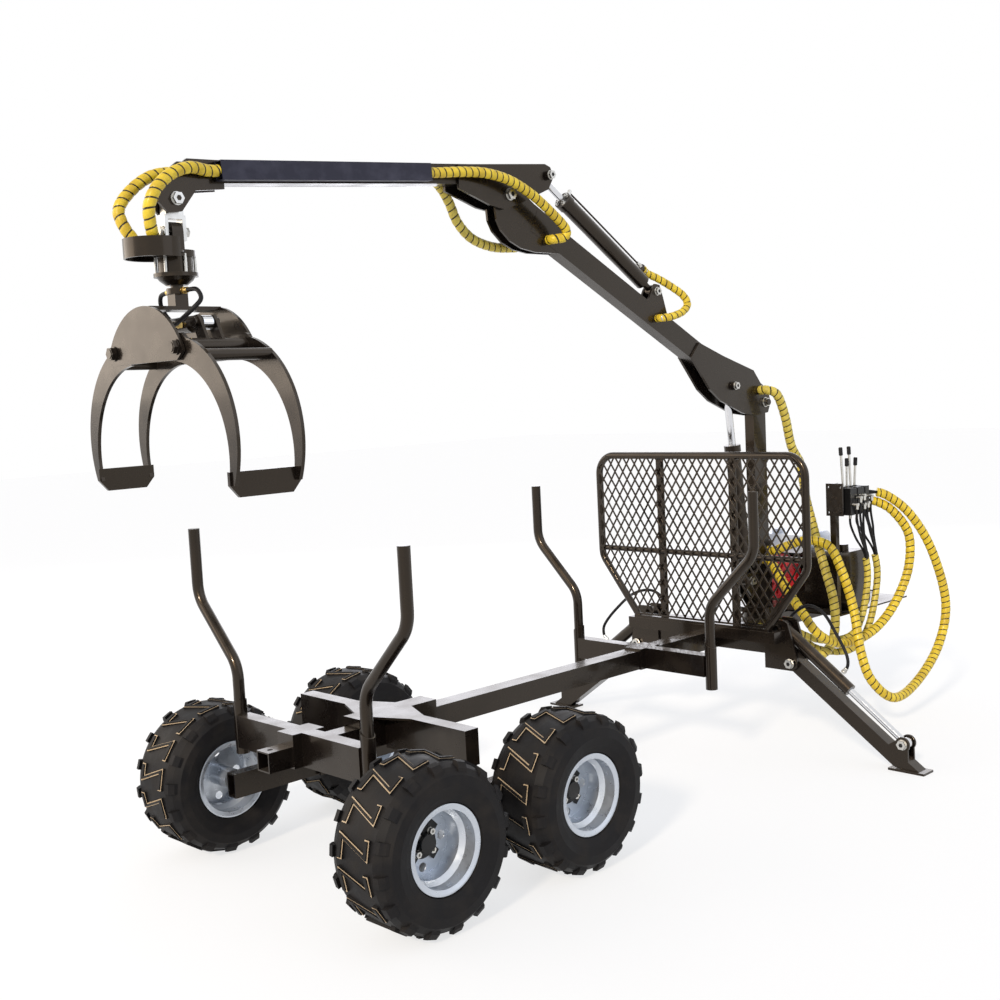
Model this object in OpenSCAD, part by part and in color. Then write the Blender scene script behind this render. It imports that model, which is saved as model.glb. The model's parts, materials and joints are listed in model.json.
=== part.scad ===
// Log trailer with a slewing crane, grapple, outrigger legs and its own power pack.
// X runs forward to the drawbar, Y to the left, Z up. Millimetres.

/* [Wheels] */
// Outside diameter of the tyres, over the lugs
tyre_d = 559; // [480:1:640]
// Width of the tyres
tyre_w = 280; // [200:1:320]
// Diameter of the wheel's bead seat
rim_d = 254; // [203:1:305]
// Height of the tyres' lugs
lug_h = 14; // [10:1:18]
// Number of tread lugs round a tyre
lug_count = 16; // [14:1:18]
// Distance between the axles of the walking bogie
wheel_base = 664; // [600:1:760]
// Distance between the tyres' centre planes
track = 1190; // [1000:1:1400]

/* [Frame] */
// Side of the square main beam
beam = 80; // [60:1:120]
// Height of the main beam's top above the ground
beam_top = 510; // [420:1:620]
// Wall of the beams and tubes
wall = 5; // [3:0.5:8]
// Rear end of the rear tube, behind the bogie's centre
rear_end = 505; // [450:1:600]
// Front end of the towing eye, ahead of the bogie's centre
eye_end = 3450; // [3200:1:3700]

/* [Bunks] */
// Rear bunk behind the bogie's centre
rear_bunk_x = 347; // [330:1:380]
// Front bunk ahead of the bogie's centre
front_bunk_x = 1475; // [1200:1:1600]
// Diameter of the stakes
stake_d = 42; // [30:1:50]
// Gap between the stakes' feet and the tyres' inner faces
stake_gap = 83; // [70:1:120]
// Half distance between the stakes' tops
stake_head = 606; // [560:1:640]
// Height of the stakes' tops
stake_top = 1212; // [1100:1:1300]

/* [Headboard] */
// Place of the headboard ahead of the bogie's centre
board_x = 1900; // [1890:1:1902]
// Half width of the headboard
board_half = 598; // [560:1:640]
// Height of the headboard's top
board_top = 1343; // [1250:1:1450]
// Diameter of the headboard's tube
board_d = 34; // [28:1:40]
// Width and height of one mesh opening's pitch
mesh_pitch = [49, 75]; // [30:1:90]
// Width of one mesh strand
mesh_strand = 7.5; // [4:0.5:10]

/* [Legs] */
// Plane of the outrigger legs ahead of the bogie's centre
leg_x = 2010; // [2000:1:2025]
// Side of the leg's square tube
leg_tube = 60; // [50:1:70]
// Diameter of the leg cylinder's barrel
leg_barrel_d = 56; // [45:1:60]

/* [Crane] */
// Slewing axis ahead of the bogie's centre
slew_x = 2387; // [2350:1:2420]
// Height of the boom's pivot
boom_pivot_z = 1548; // [1400:1:1650]
// Length of the main boom from pivot to elbow
boom_len = 1883; // [1600:1:2100]
// Rise of the main boom above the level
boom_rise = 27.35; // [15:0.05:40]
// Height of the boom's tube
boom_h = 94; // [80:1:110]
// Height of the jib's tube
jib_h = 72; // [60:1:90]

/* [Grapple] */
// Half distance between the grapple's side plates
grapple_half = 125; // [110:1:150]
// Half distance between the tongs' pivots
tong_pivot_y = 190; // [160:1:220]
// Overall width of the wide tong
tong_wide = 236; // [200:1:246]
// Overall width of the narrow tong
tong_narrow = 190; // [150:1:196]

/* [Hoses] */
// Diameter of the wrapped hose bundles at the crane's foot
bundle_d = 44; // [36:1:46]
// Diameter of the wrapped hoses along the boom and jib
wrap_d = 38; // [30:1:40]
// Diameter of a bare hydraulic hose
hose_d = 14; // [10:1:16]

/* [Hidden] */

paint = [0.10, 0.09, 0.09];
silver = [0.72, 0.73, 0.75];
rubber = [0.06, 0.06, 0.06];
steel = [0.75, 0.75, 0.78];
red = [0.70, 0.05, 0.06];
yellow = [0.93, 0.76, 0.10];
$fn = 48;

// Levels and places that others follow
wheel_z = tyre_d / 2;
tyre_inner = track / 2 - tyre_w / 2;
stake_foot = tyre_inner - stake_gap;
bunk_end = stake_foot - 16;
beam_mid = beam_top - beam / 2;
rear_tube_w = beam - 2 * wall;
sleeve = beam + 2 * wall;
bunk_w = 57;
rear_bunk_top = beam_top + 38;
rear_bunk_h = 82;
front_bunk_top = beam_top + 3;
front_bunk_h = 86;
base_top = beam_top + 37;
cross_x = leg_x;
cross_w = leg_tube + 10;
pedestal_d = 240;

// Crane points in the boom's plane as [x, z]
boom_pivot = [slew_x + 27, boom_pivot_z];
boom_dir = [-cos(boom_rise), sin(boom_rise)];
boom_up = [sin(boom_rise), cos(boom_rise)];
elbow = boom_pivot + boom_len * boom_dir;
lift_pin = boom_pivot + [-254, 86];
lift_foot = [slew_x - 117, base_top + 153];
jib_cyl_foot = boom_pivot + 926 * boom_dir + 100 * boom_up;
jib_pin = elbow + [220, 89];
tip = elbow + [-1441, -110];
link_drop = 98;

// Grapple levels
rotor_z = tip[1] - link_drop;
frame_top = rotor_z - 230;
tong_pivot_z = frame_top - 135;
tong_tip_z = tong_pivot_z - 410;
guard_r = 95;
guard_shift = 68;

// The frame's origin is under the middle of the whole length
x_rear = tip[0] - guard_shift - guard_r;
x_mid = (eye_end + x_rear) / 2;

function unit(v) = v / norm(v);
function turn(p, i) = acos(unit(p[i] - p[i - 1]) * unit(p[i + 1] - p[i]));
function trim(p, i, r) = i == 0 || i == len(p) - 1 ? 0 : r * tan(turn(p, i) / 2);

module at() {
  translate([-x_mid, 0, 0]) children();
}

// Round bar from p to q
module bar(p, q, d) {
  v = q - p;
  translate(p) rotate([0, acos(v[2] / norm(v)), atan2(v[1], v[0])]) cylinder(h = norm(v), d = d);
}

// Round bar along the points p, bent to the radius r at each corner, where it thins a little
module bent(p, d, r) {
  n = len(p);
  for (i = [0:n - 2]) {
    u = unit(p[i + 1] - p[i]);
    bar(p[i] + u * (trim(p, i, r) - (i > 0 ? 1 : 0)), p[i + 1] - u * (trim(p, i + 1,
      r) - (i < n - 2 ? 1 : 0)), d);
  }
  for (i = [1:1:n - 2]) {
    u = unit(p[i] - p[i - 1]);
    w = unit(p[i + 1] - p[i]);
    k = unit(cross(u, w));
    e = cross(u, k);
    start = p[i] - u * trim(p, i, r);
    mid = start - e * r;
    multmatrix([[e[0], u[0], k[0], mid[0]], [e[1], u[1], k[1], mid[1]], [e[2], u[2], k[2], mid[2]],
      [0, 0, 0, 1]])
      rotate_extrude(angle = turn(p, i)) translate([r, 0]) circle(d = d - 0.4);
  }
}

// Flat plate across Y with the outline p in X and Z
module plate_y(p, y, t) {
  translate([0, y + t, 0]) rotate([90, 0, 0]) linear_extrude(t) polygon(p);
}

// Flat plate across X with the outline p in Y and Z
module plate_x(p, x, t) {
  translate([x, 0, 0]) rotate([90, 0, 90]) linear_extrude(t) polygon(p);
}

// Both plates of a pair across Y, their inner faces at y
module pair_y(p, y, t) {
  plate_y(p, y, t);
  plate_y(p, -y - t, t);
}

// Disc, boss or hole along Y, centred on the boom's plane
module boss_y(p, d, w) {
  translate([p[0], w / 2, p[1]]) rotate([90, 0, 0]) cylinder(h = w, d = d);
}

// Rectangular tube in the boom's plane from p to q
module boom_tube(p, q, h, w, t) {
  a = atan2(q[1] - p[1], q[0] - p[0]);
  translate([p[0], 0, p[1]]) rotate([0, -a, 0]) difference() {
    translate([0, -w / 2, -h / 2]) cube([norm(q - p), w, h]);
    translate([-1, -w / 2 + t, -h / 2 + t]) cube([norm(q - p) + 2, w - 2 * t, h - 2 * t]);
  }
}

// Square tube along X
module tube_x(x0, x1, side, t, mid) {
  translate([x0, 0, mid]) difference() {
    translate([0, -side / 2, -side / 2]) cube([x1 - x0, side, side]);
    translate([-1, -side / 2 + t, -side / 2 + t]) cube([x1 - x0 + 2, side - 2 * t, side - 2 * t]);
  }
}

// Places its child at the left, and mirrored at the right
module both() {
  children();
  mirror([0, 1, 0]) children();
}

module side(s) {
  if (s > 0) children();
  else mirror([0, 1, 0]) children();
}

module main_beam() {
  color(paint) at() tube_x(-120, cross_x - cross_w / 2, beam, wall, beam_mid);
}

module rear_tube() {
  color(paint) at() difference() {
    tube_x(-rear_end, 400, rear_tube_w, wall, beam_mid);
    translate([-rear_end + 30, 0, beam_mid - beam]) cylinder(h = 2 * beam, d = 20);
  }
}

walk_y = tyre_inner - 43;
walk_w = 50;
cross_end = walk_y + 57;
fork_y = [walk_y - 42, walk_y + 35];
fork_t = 8;
cross_h = 126;
cross_top = beam_top + 30;
arm_w = 60;

module bogie_cross() {
  arm = [[arm_w / 2, cross_end], [-arm_w / 2, cross_end], [-arm_w / 2, 190], [-95, sleeve / 2],
    [95, sleeve / 2],
    [arm_w / 2, 190]];
  color(paint) at() {
    difference() {
      translate([-130, -sleeve / 2, beam_mid - sleeve / 2]) cube([360, sleeve,
        cross_top - beam_mid + sleeve / 2]);
      translate([-131, -beam / 2, beam_mid - beam / 2]) cube([362, beam, beam]);
    }
    both() {
      translate([15, 0, cross_top - 8]) linear_extrude(8) polygon(arm);
      difference() {
        translate([15 - arm_w / 2, sleeve / 2, cross_top - cross_h]) cube([arm_w,
          cross_end - sleeve / 2, cross_h - 8]);
        translate([15 - arm_w / 2 + wall, sleeve / 2 - 1, cross_top - cross_h + wall])
          cube([arm_w - 2 * wall, cross_end - sleeve / 2 - 4, cross_h - 8 - 2 * wall]);
      }
      for (y = fork_y)
        plate_x([[y, cross_top - cross_h + 4], [y + fork_t, cross_top - cross_h + 4], [y + fork_t,
          wheel_z - 45],
          [y, wheel_z - 45]], 15 - arm_w / 2 + 1, arm_w - 2);
    }
  }
}

walk_h = 90;
axle_d = 30;

module walking_beam(s) {
  color(paint) at() side(s) {
    difference() {
      translate([-wheel_base / 2 - 50, walk_y - walk_w / 2, wheel_z - walk_h / 2])
        cube([wheel_base + 100, walk_w, walk_h]);
      translate([-wheel_base / 2 - 51, walk_y - walk_w / 2 + wall, wheel_z - walk_h / 2 + wall])
        cube([wheel_base + 102, walk_w - 2 * wall, walk_h - 2 * wall]);
    }
    translate([15, fork_y[0] + fork_t, wheel_z]) rotate([-90, 0, 0])
      cylinder(h = fork_y[1] - fork_y[0] - fork_t, d = 40);
    for (e = [-1, 1])
      translate([e * wheel_base / 2, walk_y - walk_w / 2, wheel_z]) rotate([-90, 0, 0])
        cylinder(h = track / 2 + 12 - walk_y + walk_w / 2, d = axle_d);
  }
}

socket_h = 203;
socket_drop = 145;

module bunk(x, top, h, w_sleeve, tube, end) {
  difference() {
    union() {
      translate([x - 65, -w_sleeve / 2, top - h]) cube([130, w_sleeve, h]);
      both() translate([x - bunk_w / 2, w_sleeve / 2, top - h]) cube([bunk_w, end - w_sleeve / 2, h]);
    }
    translate([x - 66, -tube / 2, beam_mid - tube / 2]) cube([132, tube, tube]);
    both() translate([x - bunk_w / 2 + wall, w_sleeve / 2 + 6, top - h + wall])
      cube([bunk_w - 2 * wall, end - w_sleeve / 2 - 12, h - 2 * wall]);
    both() translate([x, stake_foot, 0]) cylinder(h = 2 * beam_top, d = stake_d + 8);
  }
  both() translate([x, stake_foot, top - socket_drop]) difference() {
    cylinder(h = socket_h, d = stake_d + 8);
    translate([0, 0, -1]) cylinder(h = socket_h + 2, d = stake_d + 0.2);
    translate([0, 0, socket_h - 14]) rotate([-28, 0, 0]) translate([-stake_d, -stake_d, 0])
      cube(2 * stake_d);
  }
}

module rear_bunk() {
  color(paint) at() bunk(-rear_bunk_x, rear_bunk_top, rear_bunk_top - beam_mid + beam / 2, sleeve,
    rear_tube_w, bunk_end);
}

module front_bunk() {
  color(paint) at() bunk(front_bunk_x, front_bunk_top + wall, front_bunk_h + wall, sleeve, beam, bunk_end);
}

module stake(x, foot) {
  low = [x, stake_foot, beam_top + 214];
  high = [x, stake_head, low[2] + stake_head - stake_foot];
  bent([[x, stake_foot, foot], low, high, [x, stake_head, stake_top]], stake_d, 120);
}

module rear_stakes() {
  color(paint) at() both() stake(-rear_bunk_x, rear_bunk_top - 145);
}

module front_stakes() {
  color(paint) at() both() stake(front_bunk_x, front_bunk_top - 140);
}

leg_pivot = [438, 400];
leg_cyl_top = [378, 551];
leg_lug = [960, 115];
foot_y = [898, 1060];
base_half = 338;

module crane_base() {
  plate = [[305, 366], [450, 366], [472, 386], [472, 425], [426, 578], [404, 590], [350, 590],
    [330, base_top - 6], [305, base_top - 6]];
  box_h = base_top - 2 - beam_top + beam;
  color(paint) at() {
    difference() {
      translate([cross_x - cross_w / 2, -base_half, beam_top - beam]) cube([cross_w, 2 * base_half, box_h]);
      both() translate([cross_x - cross_w / 2 + wall, 6, beam_top - beam + wall])
        cube([cross_w - 2 * wall, base_half - 12, box_h - 2 * wall]);
    }
    difference() {
      translate([board_x - 20, -415, base_top - 50]) cube([cross_x - cross_w / 2 - board_x + 16, 830, 50]);
      translate([board_x - 21, -beam / 2, base_top - 51])
        cube([cross_x - cross_w / 2 - board_x + 21, beam, beam_top - base_top + 51]);
    }
    translate([cross_x - cross_w / 2 - 5, -200, beam_top]) cube([8, 400, base_top - 10 - beam_top]);
    both() for (x = [cross_x - cross_w / 2 - 10, cross_x + cross_w / 2 - 2]) plate_x(plate, x, 12);
    both() for (p = [leg_pivot, leg_cyl_top])
      translate([cross_x - cross_w / 2 - 22, p[0], p[1]]) rotate([0, 90, 0])
        cylinder(h = cross_w + 44, d = 24);
    tube_x(cross_x + cross_w / 2 - 3, slew_x + 110, beam, wall, beam_mid);
    translate([slew_x, 0, beam_top - 3]) cylinder(h = base_top - beam_top - 3, d = pedestal_d - 60);
  }
}

board_bend = 835;
board_foot = 380;

module headboard_frame() {
  c = board_half - board_d / 2;
  foot = [board_x, board_foot - board_d / 2, base_top + 5];
  loop = [foot, [board_x, c, board_bend], [board_x, c, board_top - board_d / 2]];
  right = [for (i = [2:-1:0]) [board_x, -loop[i][1], loop[i][2]]];
  color(paint) at() {
    difference() {
      bent(concat(loop, right), board_d, 90);
      translate([board_x - board_d, -board_half, base_top - 100]) cube([2 * board_d, 2 * board_half, 100]);
    }
    bar([board_x, -c, 875], [board_x, c, 875], 26);
    translate([board_x - board_d / 2, -board_foot, base_top]) cube([board_d, 2 * board_foot, 12]);
    both() translate([board_x - 4, 185, base_top]) cube([8, 40, board_top - base_top - 10]);
  }
}

// Expanded metal: rows of diamond holes, each row half a pitch aside from the next
module headboard_mesh() {
  c = board_half - board_d / 2;
  bottom = base_top + board_d / 2;
  top = board_top - board_d / 2;
  foot = board_foot - board_d / 2;
  hole = [mesh_pitch[0] / 2 - mesh_strand * 0.6, mesh_pitch[1] / 2 - mesh_strand];
  rows = floor((top - bottom) / mesh_pitch[1] * 2);
  n = ceil(c / mesh_pitch[0]);
  color(paint) at() translate([board_x - board_d / 2 - 3, 0, 0]) rotate([90, 0, 90]) linear_extrude(3)
    difference() {
      polygon(board_outline(c, foot, bottom, top, 0));
      intersection() {
        polygon(board_outline(c, foot, bottom, top, 9));
        union() for (j = [0:rows], i = [-n:n])
          translate([(i + (j % 2) / 2) * mesh_pitch[0], bottom + 10 + mesh_pitch[1] / 2 * j])
            polygon([[-hole[0], 0], [0, -hole[1]], [hole[0], 0], [0, hole[1]]]);
      }
    }
}

// Headboard's outline, drawn in by d
function board_outline(c, foot, bottom, top, d) = [[-foot + d, bottom + d], [-c + d, board_bend],
  [-c + d, top - 60], [-c + 60, top - d], [c - 60, top - d], [c - d, top - 60], [c - d, board_bend],
  [foot - d, bottom + d]];

module drawbar() {
  color(paint) at() {
    tube_x(slew_x + 110, eye_end - 118, rear_tube_w, wall, beam_mid);
    translate([eye_end - 50, 0, beam_mid - 15]) difference() {
      union() {
        cylinder(h = 30, d = 100);
        translate([-90, -30, 0]) cube([90, 60, 30]);
      }
      translate([0, 0, -1]) cylinder(h = 32, d = 52);
    }
    translate([eye_end - 130, -rear_tube_w / 2 + wall, beam_mid - rear_tube_w / 2 + wall])
      cube([12, rear_tube_w - 2 * wall, rear_tube_w - 2 * wall]);
    translate([slew_x + 180, -330, beam_top - wall]) cube([640, 560, 8]);
  }
}

deck_z = beam_top - wall + 8;

engine_x = slew_x + 300;
fin_t = 4;

// Rounded rectangle in the plane of a plate
module round_rect(w, h, r) {
  translate([r, 0]) square([w - 2 * r, h]);
  translate([0, r]) square([w, h - 2 * r]);
  for (x = [r, w - r], y = [r, h - r]) translate([x, y]) circle(r = r);
}

// Crankcase, finned cylinder and silencer of the engine
module engine_block() {
  color(paint) at() translate([engine_x, -60, deck_z]) {
    cube([210, 250, 150]);
    translate([40, 40, 149]) cube([130, 150, 121]);
    for (i = [0:6]) translate([28, 28, 160 + 15 * i]) cube([154, 174, fin_t]);
    translate([209, 60, 60]) cube([61, 150, 190]);
  }
}

// Fan shroud with a slotted face
module engine_cover() {
  color(red) at() translate([engine_x - 60, 65, deck_z + 150]) rotate([0, 90, 0]) difference() {
    cylinder(h = 60, d = 220);
    for (k = [0:11]) rotate([0, 0, 30 * k]) translate([38, -7, -1]) cube([50, 14, 12]);
    translate([0, 0, -1]) cylinder(h = 9, d = 46);
  }
}

module fuel_tank() {
  color(silver) at() translate([engine_x - 20, -70, deck_z + 270]) {
    rotate([90, 0, 90]) linear_extrude(250) round_rect(270, 90, 28);
    translate([70, 190, 88]) cylinder(h = 24, d = 64);
  }
}

// Tank with rounded edges and a filler cap
module hydraulic_tank() {
  color(paint) at() translate([engine_x - 27, -312, deck_z]) {
    translate([0, 236, 0]) rotate([90, 0, 0]) linear_extrude(236) round_rect(216, 288, 46);
    translate([70, 60, 286]) cylinder(h = 34, d = 56);
  }
}

stand_x = slew_x + 175;
stand_y = -330;

module valve_stand() {
  color(paint) at() {
    translate([stand_x - 10, stand_y + 5, deck_z]) cube([30, 30, 635]);
    difference() {
      translate([stand_x - 20, stand_y - 40, deck_z + 480]) cube([11, 88, 155]);
      for (y = [-28, 36], z = [496, 618])
        translate([stand_x - 21, stand_y + y, deck_z + z]) rotate([0, 90, 0]) cylinder(h = 13, d = 11);
    }
  }
}

valve_x = stand_x + 20;
slice = 34;

// Banked valve: slices with a spool cap on each side, between two end plates
module control_valve() {
  color(rubber) at() translate([valve_x, stand_y - 60, deck_z + 480]) {
    for (i = [0:4]) translate([slice * i, i % 2 == 0 ? 0 : 3, i % 2 == 0 ? 0 : 4])
      cube([slice + (i < 4 ? 0.5 : 0), i % 2 == 0 ? 110 : 104, i % 2 == 0 ? 130 : 122]);
    for (i = [0:3]) translate([slice * i + 28, 55, 120]) cylinder(h = 14, d = 22);
  }
}

module valve_levers() {
  color(steel) at() for (i = [0:3])
    translate([valve_x + slice * i + 28, stand_y - 5, deck_z + 614]) difference() {
      rotate([[-3, 1, -2, 4][i], 0, 0]) translate([0, 0, -4]) cylinder(h = i % 2 == 0 ? 194 : 140, d = 12);
      translate([-20, -20, -20]) cube([40, 40, 20]);
    }
}

// Tread lug and its upper step seen from outside, along the tread and across it
lug = [[-40, -72], [-40, -50], [18, -50], [-26, 72], [40, 72], [40, 50], [-2, 50], [42, -72]];
lug_face = [[-36, -68], [-36, -54], [23.7, -54], [-20.3, 68], [36, 68], [36, 54], [-7.7, 54], [36.3, -68]];

module tyre(s, e) {
  h = tyre_w / 2;
  r = tyre_d / 2;
  b = rim_d / 2;
  g = r - lug_h;
  half = [[b + 0.3, 36], [b + 16, 33], [b + 20, 19], [b + 45, 8], [b + 75, 0], [b + 105, 4],
    [g - 12, 24], [g, 52]];
  outer = concat([for (p = half) [p[0], h - p[1]]], [[g + 2, 0]], [for (i = [7:-1:0]) [half[i][0],
    half[i][1] - h]]);
  inner = [[b + 0.3, -h + 50], [b + 45, -h + 24], [b + 75, -h + 14], [b + 105, -h + 16], [g - 18, -h + 50],
    [g - 18, h - 50], [b + 105, h - 16], [b + 75, h - 14], [b + 45, h - 24], [b + 0.3, h - 50]];
  color(rubber) at() side(s) translate([e * wheel_base / 2, track / 2, wheel_z]) rotate([-90, 0, 0]) {
    rotate_extrude() polygon(concat(outer, inner));
    for (i = [0:lug_count - 1]) rotate([0, 0, 360 / lug_count * (i + 0.5)]) {
      translate([g - 8, 0, 0]) rotate([90, 0, 90]) {
        linear_extrude(lug_h) polygon(lug);
        translate([0, 0, lug_h - 1]) linear_extrude(5.8) polygon(lug_face);
      }
      for (k = [-1, 1]) rotate([90, 0, 90 / lug_count * k]) translate([0, 0, -18]) linear_extrude(36)
        polygon([[g - 22, k * (h - 40)], [r - 6, k * (h - 44)], [r - 10, k * (h - 24)], [g - 14,
          k * (h - 12)],
          [g - 34, k * (h - 10)]]);
    }
  }
}

module wheel(s, e) {
  b = rim_d / 2;
  barrel = [[b + 15, 116], [b + 15, 112], [b, 108], [b, 70], [b - 15, 55], [b - 15, -40], [b, -60],
    [b, -108],
    [b + 15, -112], [b + 15, -116], [b + 10, -116], [b - 4, -112], [b - 4, -62], [b - 19, -42],
      [b - 19, 53],
    [b - 4, 68], [b - 4, 112], [b + 10, 116]];
  disc = [[axle_d / 2 + 0.05, -120], [38, -120], [38, -8], [b - 17, -8], [b - 17, -3], [30, -3],
    [30, 34], [0, 34], [0, 14], [axle_d / 2 + 0.05, 14]];
  color(silver) at() side(s) translate([e * wheel_base / 2, track / 2, wheel_z]) rotate([-90, 0, 0]) {
    rotate_extrude() polygon(barrel);
    difference() {
      rotate_extrude() polygon(disc);
      for (k = [0:3]) rotate([0, 0, 90 * k]) translate([82, 0, -12]) cylinder(h = 14, d = 30);
    }
    translate([0, 0, -5]) linear_extrude(10) difference() {
      union() {
        circle(r = 52);
        for (k = [0:3]) rotate(45 + 90 * k) translate([0, -17]) square([74, 34]);
      }
      circle(r = 25);
    }
  }
}

leg_dir = unit([500, -360]);
leg_perp = [-leg_dir[1], leg_dir[0]];

// Leg in its own plane as [y, z], with the tube, lug and foot
module leg(s) {
  lug = [for (k = [[-50, 20], [70, 20]]) leg_lug + k[0] * leg_dir - (74 - k[1]) * leg_perp];
  tube_end = leg_pivot + 615 * leg_dir;
  half = leg_tube / 2;
  body = [leg_pivot - 30 * leg_dir + half * leg_perp, leg_pivot - 30 * leg_dir - half * leg_perp,
    tube_end - half * leg_perp + [0, 0], [foot_y[0] + 60, 9], [foot_y[1] - 25, 9],
      tube_end + half * leg_perp];
  color(paint) at() side(s) {
    difference() {
      plate_x(body, leg_x - half, leg_tube);
      translate([leg_x - half - 1, leg_pivot[0], leg_pivot[1]]) rotate([0, 90, 0])
        cylinder(h = leg_tube + 2, d = 24.1);
    }
    for (x = [leg_x - half, leg_x + half - 8]) {
      translate([x, leg_lug[0], leg_lug[1]]) rotate([0, 90, 0]) cylinder(h = 8, d = 64);
      plate_x([lug[0], lug[1], leg_lug + 30 * leg_dir, leg_lug - 30 * leg_dir], x, 8);
    }
    translate([leg_x - 40, foot_y[0], 0]) cube([80, foot_y[1] - foot_y[0], 10]);
  }
}

leg_cyl_dir = unit(leg_lug - leg_cyl_top);
leg_barrel_len = 410;

module leg_barrel(s) {
  a = [leg_x, leg_cyl_top[0], leg_cyl_top[1]];
  d = [0, leg_cyl_dir[0], leg_cyl_dir[1]];
  color(paint) at() side(s) difference() {
    union() {
      bar(a + 20 * d, a + leg_barrel_len * d, leg_barrel_d);
      translate([leg_x - 25, a[1], a[2]]) rotate([0, 90, 0]) cylinder(h = 50, d = 52);
    }
    translate([leg_x - 26, a[1], a[2]]) rotate([0, 90, 0]) cylinder(h = 52, d = 24.1);
    bar(a + 60 * d, a + (leg_barrel_len + 1) * d, 30.1);
  }
}

module leg_rod(s) {
  a = [leg_x, leg_cyl_top[0], leg_cyl_top[1]];
  d = [0, leg_cyl_dir[0], leg_cyl_dir[1]];
  q = [leg_x, leg_lug[0], leg_lug[1]];
  color(steel) at() side(s) {
    bar(a + (leg_barrel_len - 60) * d, q - 20 * d, 30);
    difference() {
      translate([leg_x - 16, q[1], q[2]]) rotate([0, 90, 0]) cylinder(h = 32, d = 48);
      translate([leg_x - 17, q[1], q[2]]) rotate([0, 90, 0]) cylinder(h = 34, d = 24.4);
    }
  }
}

post_w = 50;
post_x = 100;

module crane_post() {
  gusset = [[slew_x + post_x / 2, base_top + 20], [slew_x + post_x / 2, base_top + 330],
    [slew_x - post_x / 2, base_top + 330], lift_foot + [40, 45], lift_foot + [-36, 34],
      lift_foot + [-42, -30],
    [slew_x - post_x / 2 - 20, base_top + 20]];
  color(paint) at() {
    translate([slew_x, 0, base_top - 6]) cylinder(h = 26, d = pedestal_d);
    difference() {
      union() {
        translate([slew_x - post_x / 2, -post_w / 2, base_top + 20]) cube([post_x, post_w,
          boom_pivot_z - base_top - 20]);
        boss_y(boom_pivot, 92, post_w);
      }
      translate([slew_x - post_x / 2 + wall, -post_w / 2 + wall, base_top + 30])
        cube([post_x - 2 * wall, post_w - 2 * wall, boom_pivot_z - base_top - 100]);
      boss_y(boom_pivot, 30.1, 90);
    }
    pair_y(gusset, post_w / 2, 10);
    boss_y(lift_foot, 30, 90);
  }
}

lift_dir = unit(lift_pin - lift_foot);
lift_barrel_len = 660;
lift_stroke = 157;
// Length of a piston rod that stays in its barrel at full stroke
rod_hold = 60;

// Cylinder barrel in the boom's plane, its eye at p, along the direction d
module barrel_y(p, d, len, dia, eye_w, bore, rod) {
  a = [p[0], 0, p[1]];
  v = [d[0], 0, d[1]];
  difference() {
    union() {
      bar(a, a + 85 * v, eye_w - 2);
      bar(a + 75 * v, a + (len - 28) * v, dia);
      bar(a + (len - 32) * v, a + len * v, dia + 8);
      boss_y(p, 60, eye_w);
    }
    boss_y(p, bore, eye_w + 2);
    bar(a + 95 * v, a + (len + 1) * v, rod + 0.1);
  }
}

// Piston rod in the boom's plane, from inside its barrel to the eye at q
module rod_y(p, q, start, dia, eye_d, eye_w, bore) {
  d = unit(q - p);
  difference() {
    union() {
      bar([p[0] + start * d[0], 0, p[1] + start * d[1]], [q[0], 0, q[1]], dia);
      boss_y(q, eye_d, eye_w);
    }
    boss_y(q, bore, eye_w + 2);
  }
}

module lift_barrel() {
  color(paint) at() barrel_y(lift_foot, lift_dir, lift_barrel_len, 70, 40, 30.1, 35);
}

module lift_rod() {
  color(steel) at() rod_y(lift_foot, lift_pin, lift_barrel_len - lift_stroke - rod_hold, 35, 58, 46,
    30.4);
}

boom_w = 60;

module main_boom() {
  b = boom_pivot;
  heel = [b + [-560, 225], b + [-430, 75], b + [-350, 20], b + [-180, -45], b + [-70, -60],
    b + [25, -50], b + [50, 0],
    b + [25, 62], b + [-30, 92], b + [-85, 154], b + [-320, 225], b + [-500, 288]];
  goose = [elbow + [-45, 20], elbow + [-50, -20], elbow + [-64, -52], elbow + [-60, -95],
    elbow + [-38, -135],
    elbow + [10, -175], elbow + [70, -200], elbow + [150, -212], elbow + [300, -212], elbow + [330,
      -120], elbow + [150, -25], elbow + [60,
      35], elbow + [0, 48]];
  tube_drop = 12 * boom_up;
  ear = [jib_cyl_foot + [-30, 10], jib_cyl_foot + [-70, -60], jib_cyl_foot - 110 * boom_dir - 62 * boom_up,
    jib_cyl_foot + [40, -20], jib_cyl_foot + [20, 28], jib_cyl_foot + [-10, 32]];
  color(paint) at() {
    boom_tube(b + 330 * boom_dir - tube_drop, b + (boom_len - 170) * boom_dir - tube_drop, boom_h,
      boom_w, wall);
    difference() {
      union() {
        pair_y(heel, boom_w / 2 - 2, 12);
        pair_y(goose, boom_w / 2 - 11, 10);
        pair_y(ear, 18, 10);
      }
      boss_y(lift_pin, 30, 60);
      boss_y(elbow, 30.1, 200);
    }
    boss_y(b, 30, 130);
    boss_y(jib_cyl_foot, 24, 80);
    for (s = [-1, 1]) translate([lift_pin[0], s * 44, lift_pin[1]]) rotate([90, 0, 0])
      cylinder(h = 22, d = 40, center = true);
  }
}

jib_cyl_dir = unit(jib_pin - jib_cyl_foot);
jib_barrel_len = norm(jib_pin - jib_cyl_foot) - 150;
jib_stroke = 279;

module jib_barrel() {
  port = jib_cyl_foot + 110 * jib_cyl_dir;
  up = [-jib_cyl_dir[1], jib_cyl_dir[0]] * (jib_cyl_dir[0] < 0 ? -1 : 1);
  color(paint) at() {
    barrel_y(jib_cyl_foot, jib_cyl_dir, jib_barrel_len, 66, 30, 24.1, 30);
    bar([port[0] + 28 * up[0], 0, port[1] + 28 * up[1]], [port[0] + 62 * up[0], 0,
      port[1] + 62 * up[1]], 24);
  }
}

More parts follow.
